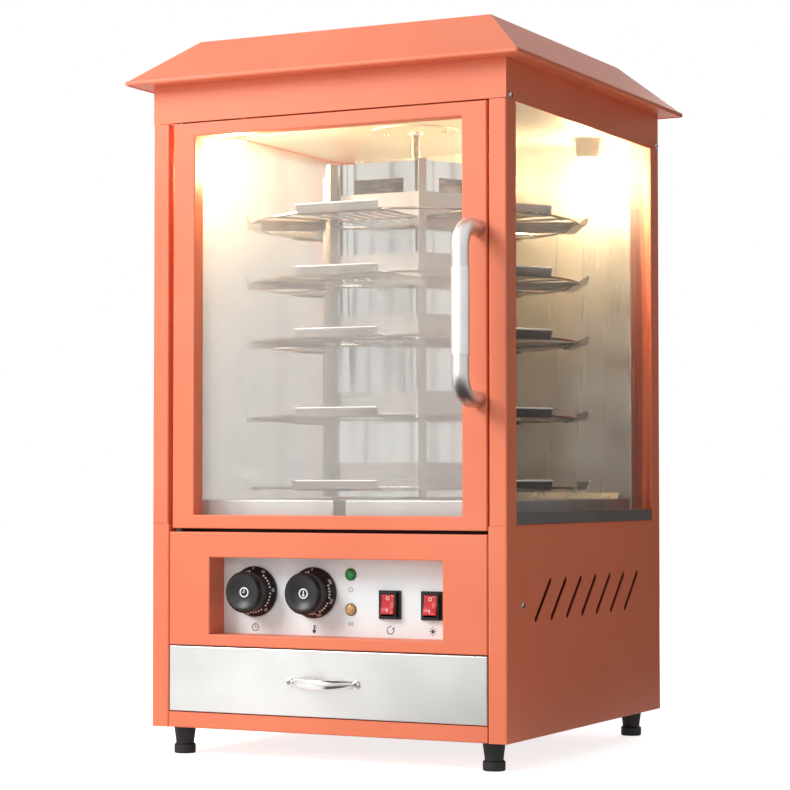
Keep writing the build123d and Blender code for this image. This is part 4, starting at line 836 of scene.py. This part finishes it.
class ROASTER_OT_plate(bpy.types.Operator):
    """Dress the control plate and print plain signs on it"""
    bl_idname = "roaster.plate"
    bl_label = "Dress control plate"

    def execute(self, context):
        ink = context.scene.roaster_sizes.ink
        dress("white_enamel", "control_plate")
        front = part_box("control_plate")[0].y
        signs = bmesh.new()
        timer, thermostat = node_middle("timer_knob"), node_middle("thermostat_knob")
        lamp_low, lamp_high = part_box("indicator_lamps")
        lamp_x = (lamp_low.x + lamp_high.x) / 2
        under = timer.z - 41 * MM
        large = Matrix.Scale(1.3, 4)
        # Timer: a clock
        at = facing_front(timer.x, front, under) @ large
        disc_mark(signs, 3.4 * MM, ink, at, inner=2.7 * MM)
        bar_mark(signs, 0.6 * MM, 2.2 * MM, ink, at @ shifted(0, 1.0 * MM))
        bar_mark(signs, 1.8 * MM, 0.6 * MM, ink, at @ shifted(0.7 * MM, 0))
        # Thermostat: a thermometer
        at = facing_front(thermostat.x, front, under) @ large
        bar_mark(signs, 1.2 * MM, 5.0 * MM, ink, at @ shifted(0, 1.0 * MM))
        disc_mark(signs, 1.7 * MM, ink, at @ shifted(0, -2.0 * MM))
        for rung in range(3):
            bar_mark(signs, 1.4 * MM, 0.45 * MM, ink, at @ shifted(1.9 * MM, (rung * 1.2 + 0.4) * MM))
        # Power: a broken ring with a bar
        at = facing_front(lamp_x, front, lamp_high.z - 24 * MM) @ large
        self.bars_round(signs, at, range(52, 309, 32), 2.0 * MM, 90, 0.5 * MM, 0.9 * MM, ink)
        bar_mark(signs, 0.5 * MM, 2.2 * MM, ink, at @ shifted(0, 1.4 * MM))
        # Heat: three rising strokes
        at = facing_front(lamp_x, front, lamp_low.z - 9 * MM) @ large
        for stroke in (-1, 0, 1):
            bar_mark(signs, 0.5 * MM, 1.8 * MM, ink, at @ shifted(stroke * 1.7 * MM, -0.8 * MM, 0, 18))
            bar_mark(signs, 0.5 * MM, 1.8 * MM, ink, at @ shifted(stroke * 1.7 * MM, 0.7 * MM, 0, -18))
        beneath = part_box("switch_bodies")[0].z - 12.5 * MM
        # Rotation: an open ring of strokes with an arrow head
        at = facing_front(node_middle("rotation_rocker").x, front, beneath) @ large
        self.bars_round(signs, at, range(0, 271, 27), 3.2 * MM, 90, 0.7 * MM, 1.5 * MM, ink)
        tip = at @ shifted(0, 0, 0, 284)
        for wing in (-35, 35):
            arm = tip @ shifted(0, 3.2 * MM, 0, 90 + wing) @ shifted(0, 0.8 * MM)
            bar_mark(signs, 0.7 * MM, 2.2 * MM, ink, arm)
        # Light: a disc with rays
        at = facing_front(node_middle("lighting_rocker").x, front, beneath) @ large
        disc_mark(signs, 1.7 * MM, ink, at)
        self.bars_round(signs, at, range(0, 360, 45), 3.1 * MM, 0, 0.6 * MM, 1.4 * MM, ink)
        new_piece("plate_signs", signs, "cabinet", ["dark_ink"])
        return {"FINISHED"}

    def bars_round(self, signs, at, angles, radius, turn, width, tall, ink):
        """Print bars at some angles round a middle, each turned from its own spoke."""
        for angle in angles:
            bar_mark(signs, width, tall, ink, at @ shifted(0, 0, 0, angle) @ shifted(0, radius, 0, turn))


class ROASTER_OT_screws(bpy.types.Operator):
    """Build the cabinet screws and the pull's screws with cross recesses"""
    bl_idname = "roaster.screws"
    bl_label = "Build screws"

    def execute(self, context):
        sizes = context.scene.roaster_sizes
        head, rise = sizes.screw_head, sizes.screw_rise
        out_front = Matrix.Rotation(math.radians(90), 4, "X")
        out_rear = Matrix.Rotation(math.radians(-90), 4, "X")
        downwards = Matrix.Rotation(math.radians(180), 4, "X")
        cabinet = bmesh.new()
        for low, high in solid_boxes("cabinet_screws"):
            middle = (low + high) / 2
            spans = high - low
            # A screw points along the axis on which its span isn't the width of its head
            along = next((axis for axis in (0, 1) if abs(spans[axis] - 2 * head) > head / 10), 2)
            if along == 0:
                out = Matrix.Rotation(math.copysign(math.radians(90), middle.x), 4, "Y")
                middle.x = high.x - rise if middle.x > 0 else low.x + rise
            elif along == 1:
                out = out_rear
                middle.y = high.y - rise
            else:
                out = downwards
                middle.z = low.z + rise
            self.screw(cabinet, Matrix.Translation(middle) @ out, head, rise, spans[along] - rise)
        new_piece("cross_head_screws", cabinet, "cabinet", ["zinc_plated_steel"],
                  ["cabinet_screws"])
        pull = bmesh.new()
        low_rise = rise * 0.8
        for low, high in solid_boxes("pull_screws"):
            middle = (low + high) / 2
            middle.y = low.y + low_rise
            self.screw(pull, Matrix.Translation(middle) @ out_front, (high.x - low.x) / 2, low_rise,
                       high.y - low.y - low_rise)
        new_piece("cross_head_pull_screws", pull, "drawer", ["zinc_plated_steel"],
                  ["pull_screws"])
        return {"FINISHED"}

    def screw(self, piece, place, radius, rise, shank):
        """Add a domed screw with a cross recess, its head outwards along the place's Z."""
        part = bmesh.new()
        profile = [(radius * 0.62, rise), (radius * 0.9, rise * 0.66), (radius, rise * 0.25), (radius, 0),
                   (radius * 0.5, 0), (radius * 0.5, -shank), (0, -shank)]
        points = [part.verts.new((reach, 0, height)) for reach, height in profile]
        for pair in zip(points, points[1:]):
            part.edges.new(pair)
        bmesh.ops.spin(part, geom=part.verts[:] + part.edges[:], cent=(0, 0, 0), axis=(0, 0, 1),
                       angle=2 * math.pi, steps=24, use_merge=True)
        bmesh.ops.remove_doubles(part, verts=part.verts, dist=MERGE)
        arm, slot, depth = radius * 0.52, radius * 0.13, rise * 0.6
        outline = [(arm, -slot), (arm, slot), (slot, slot), (slot, arm), (-slot, arm), (-slot, slot),
                   (-arm, slot), (-arm, -slot), (-slot, -slot), (-slot, -arm), (slot, -arm), (slot, -slot)]
        top = [edge for edge in part.edges if edge.is_boundary]
        recess = part.faces.new([part.verts.new((x, y, rise)) for x, y in outline])
        bmesh.ops.bridge_loops(part, edges=top + recess.edges[:])
        drawn(part, [recess], (0, 0, -depth))
        join(piece, part, place)


class ROASTER_OT_stage(bpy.types.Operator):
    """Set the floor, the lights, the white surround and the camera"""
    bl_idname = "roaster.stage"
    bl_label = "Set stage"

    def execute(self, context):
        scene = context.scene
        scene.view_settings.view_transform = "Standard"
        # Floor: pale and matt, white to the eye but keeping the object's shadow
        tree = start_material("studio_floor")[0]
        seen, in_gloss = self.seen_rays(tree)
        lift = add_node(tree, "ShaderNodeMapRange", {"Value": in_gloss, "To Min": 0.8, "To Max": 0.4})
        shown = add_node(tree, "ShaderNodeMath", {0: seen, 1: lift}, operation="MULTIPLY")
        matt = add_node(tree, "ShaderNodeBsdfDiffuse", {"Color": (0.8, 0.8, 0.8, 1.0)})
        white = add_node(tree, "ShaderNodeEmission", {"Strength": shown})
        both = add_node(tree, "ShaderNodeAddShader", {0: matt, 1: white})
        add_node(tree, "ShaderNodeOutputMaterial", {"Surface": both})
        sheet = bmesh.new()
        bmesh.ops.create_grid(sheet, x_segments=1, y_segments=1, size=12.0)
        self.prop("studio_floor", sheet, "studio_floor")
        # Dark cards, which the camera doesn't see and which throw no shadow
        tree = start_material("flag_cloth")[0]
        cloth = add_node(tree, "ShaderNodeBsdfDiffuse", {"Color": (0.05, 0.045, 0.045, 1.0)})
        add_node(tree, "ShaderNodeOutputMaterial", {"Surface": cloth})
        # One stands behind on the right, so that the right side stays deep in tone, and narrow ones stand
        # in front on the left and on the right, which the mirror drum shows as upright bands
        standing = bmesh.new()
        for x, y, turn, width, foot, tall in (
                (0.95, 1.1, 0, 1.5, 0.0, 2.2), (-0.5, -2.9, 12, 0.16, 0.55, 1.1),
                (-0.85, -2.6, 20, 0.16, 0.5, 1.1), (-1.03, -2.5, 25, 0.04, 0.0, 1.6),
                (-1.16, -2.5, 25, 0.12, 0.5, 1.1), (-1.29, -2.4, 28, 0.05, 0.0, 1.6),
                (-1.55, -2.2, 32, 0.20, 0.5, 1.1), (2.2, 0.05, 90, 0.03, 0.0, 1.6),
                (2.2, 0.25, 90, 0.06, 0.5, 1.1)):
            self.card(standing, (x, y, foot + tall / 2), (90, 0, turn), width, tall)
        flags = self.prop("flag_cards", standing, "flag_cloth")
        # Others only gloss shows: close under the handle, on the floor on the right and in front of the
        # drawer, and high behind, where the roof's front would mirror the white surround
        glossy = bmesh.new()
        for middle, tilt, width, tall in (((0.19, -0.56, 0.33), (0, 0, 0), 0.44, 0.6),
                                          ((1.0, 0.05, 0.01), (0, 0, 0), 1.3, 2.0),
                                          ((0.16, -0.53, 0.01), (0, 0, 0), 0.3, 0.45),
                                          ((-0.2, -1.1, 0.01), (0, 0, 0), 0.3, 0.5),
                                          ((-0.85, 1.0, 2.1), (50, 0, 25), 1.6, 1.4)):
            self.card(glossy, middle, tilt, width, tall)
        gloss_cards = self.prop("gloss_cards", glossy, "flag_cloth")
        gloss_cards.visible_diffuse = False
        for cards in (flags, gloss_cards):
            cards.visible_camera = False
            cards.visible_transmission = False
            cards.visible_shadow = False
        # Key: a soft box in front, to the left and above
        self.sheet_light("key_softbox", 1.3, 1.3, 71, (-1.6, -2.0, 1.9), (0.0, -0.2, 0.42))
        # Fill: a broad soft sheet in front, which reaches into the control recess
        self.sheet_light("front_fill", 1.6, 0.8, 14, (-0.3, -3.2, 1.0), (0.0, -0.2, 0.3))
        # Rear: a soft sheet for the back, which the camera's side of the object doesn't face
        self.sheet_light("rear_sheet", 0.8, 1.0, 30, (0.0, 3.0, 1.2), (0.0, 0.2, 0.42))
        # Overhead: a small soft sheet for the roof
        self.sheet_light("overhead_sheet", 0.5, 0.5, 2, (0.1, 0.15, 2.3), (0.1, 0.1, 0.8))
        # Surround: white where it is seen, softer as light
        world = bpy.data.worlds.new("white_surround")
        scene.world = world
        world.use_nodes = True
        tree = world.node_tree
        tree.nodes.clear()
        white = (1.0, 1.0, 1.0, 1.0)
        soft = add_node(tree, "ShaderNodeBackground", {"Color": white, "Strength": 0.30})
        full = add_node(tree, "ShaderNodeBackground", {"Color": white, "Strength": 1.0})
        seen = self.seen_rays(tree)[0]
        either = add_node(tree, "ShaderNodeMixShader", {0: seen, 1: soft, 2: full})
        add_node(tree, "ShaderNodeOutputWorld", {"Surface": either})
        # Camera: low in front on the right, looking slightly up, for a square picture
        lens = bpy.data.cameras.new("camera")
        lens.sensor_width = 36.0
        lens.lens = 109.02
        camera = bpy.data.objects.new("camera", lens)
        camera.location = (1.27497, -2.59691, 0.31159)
        camera.rotation_euler = (math.radians(92.138), 0.0, math.radians(26.64))
        scene.collection.objects.link(camera)
        scene.camera = camera
        return {"FINISHED"}

    def prop(self, name, shape, finish):
        """Make a stage prop."""
        mesh = bpy.data.meshes.new(name)
        shape.to_mesh(mesh)
        shape.free()
        mesh.materials.append(bpy.data.materials[finish])
        made = bpy.data.objects.new(name, mesh)
        bpy.context.scene.collection.objects.link(made)
        return made

    def seen_rays(self, tree):
        """Add nodes that tell rays seen straight, in gloss or through glass, and those seen in gloss."""
        path = add_node(tree, "ShaderNodeLightPath").outputs
        in_gloss = path["Is Glossy Ray"]
        open_view = add_node(tree, "ShaderNodeMath", {0: path["Is Camera Ray"], 1: in_gloss},
                             operation="MAXIMUM")
        seen = add_node(tree, "ShaderNodeMath", {0: open_view, 1: path["Is Transmission Ray"]},
                        operation="MAXIMUM")
        return seen, in_gloss

    def card(self, shape, middle, tilt, width, tall):
        """Add a flat card, tilted by angles in degrees."""
        turned = Euler([math.radians(angle) for angle in tilt]).to_matrix().to_4x4()
        place = Matrix.Translation(middle) @ turned @ Matrix.Diagonal((width, tall, 1, 1))
        bmesh.ops.create_grid(shape, x_segments=1, y_segments=1, size=0.5, matrix=place)

    def sheet_light(self, name, width, tall, energy, place, target):
        """Hang a soft sheet of light and point it at a target."""
        light = bpy.data.lights.new(name, "AREA")
        light.shape = "RECTANGLE"
        light.size = width
        light.size_y = tall
        light.energy = energy
        lamp = bpy.data.objects.new(name, light)
        lamp.location = place
        lamp.rotation_euler = (Vector(target) - Vector(place)).to_track_quat("-Z", "Y").to_euler()
        bpy.context.scene.collection.objects.link(lamp)


STEPS = (ROASTER_OT_finishes, ROASTER_OT_cabinet, ROASTER_OT_panes, ROASTER_OT_chamber, ROASTER_OT_drawer,
         ROASTER_OT_carousel, ROASTER_OT_knobs, ROASTER_OT_switches, ROASTER_OT_signals, ROASTER_OT_plate,
         ROASTER_OT_screws, ROASTER_OT_stage)


class ROASTER_PT_panel(bpy.types.Panel):
    """Sizes, colours and steps of the roaster"""
    bl_idname = "ROASTER_PT_panel"
    bl_label = "Roaster"
    bl_space_type = "VIEW_3D"
    bl_region_type = "UI"
    bl_category = "Roaster"

    def draw(self, context):
        for group in (context.scene.roaster_sizes, context.scene.roaster_colours):
            column = self.layout.column()
            for name in group.__annotations__:
                column.prop(group, name)
        for step in STEPS:
            self.layout.operator(step.bl_idname)


CLASSES = (RoasterSizes, RoasterColours, *STEPS, ROASTER_PT_panel)


def register():
    """Make the classes known and hang the properties on the scene."""
    for made in CLASSES:
        bpy.utils.register_class(made)
    bpy.types.Scene.roaster_sizes = PointerProperty(type=RoasterSizes)
    bpy.types.Scene.roaster_colours = PointerProperty(type=RoasterColours)


def unregister():
    """Take the properties and the classes away again."""
    del bpy.types.Scene.roaster_colours
    del bpy.types.Scene.roaster_sizes
    for made in reversed(CLASSES):
        bpy.utils.unregister_class(made)


def main():
    """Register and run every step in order."""
    register()
    for step in STEPS:
        family, name = step.bl_idname.split(".")
        getattr(getattr(bpy.ops, family), name)()


if __name__ == "__main__":
    main()
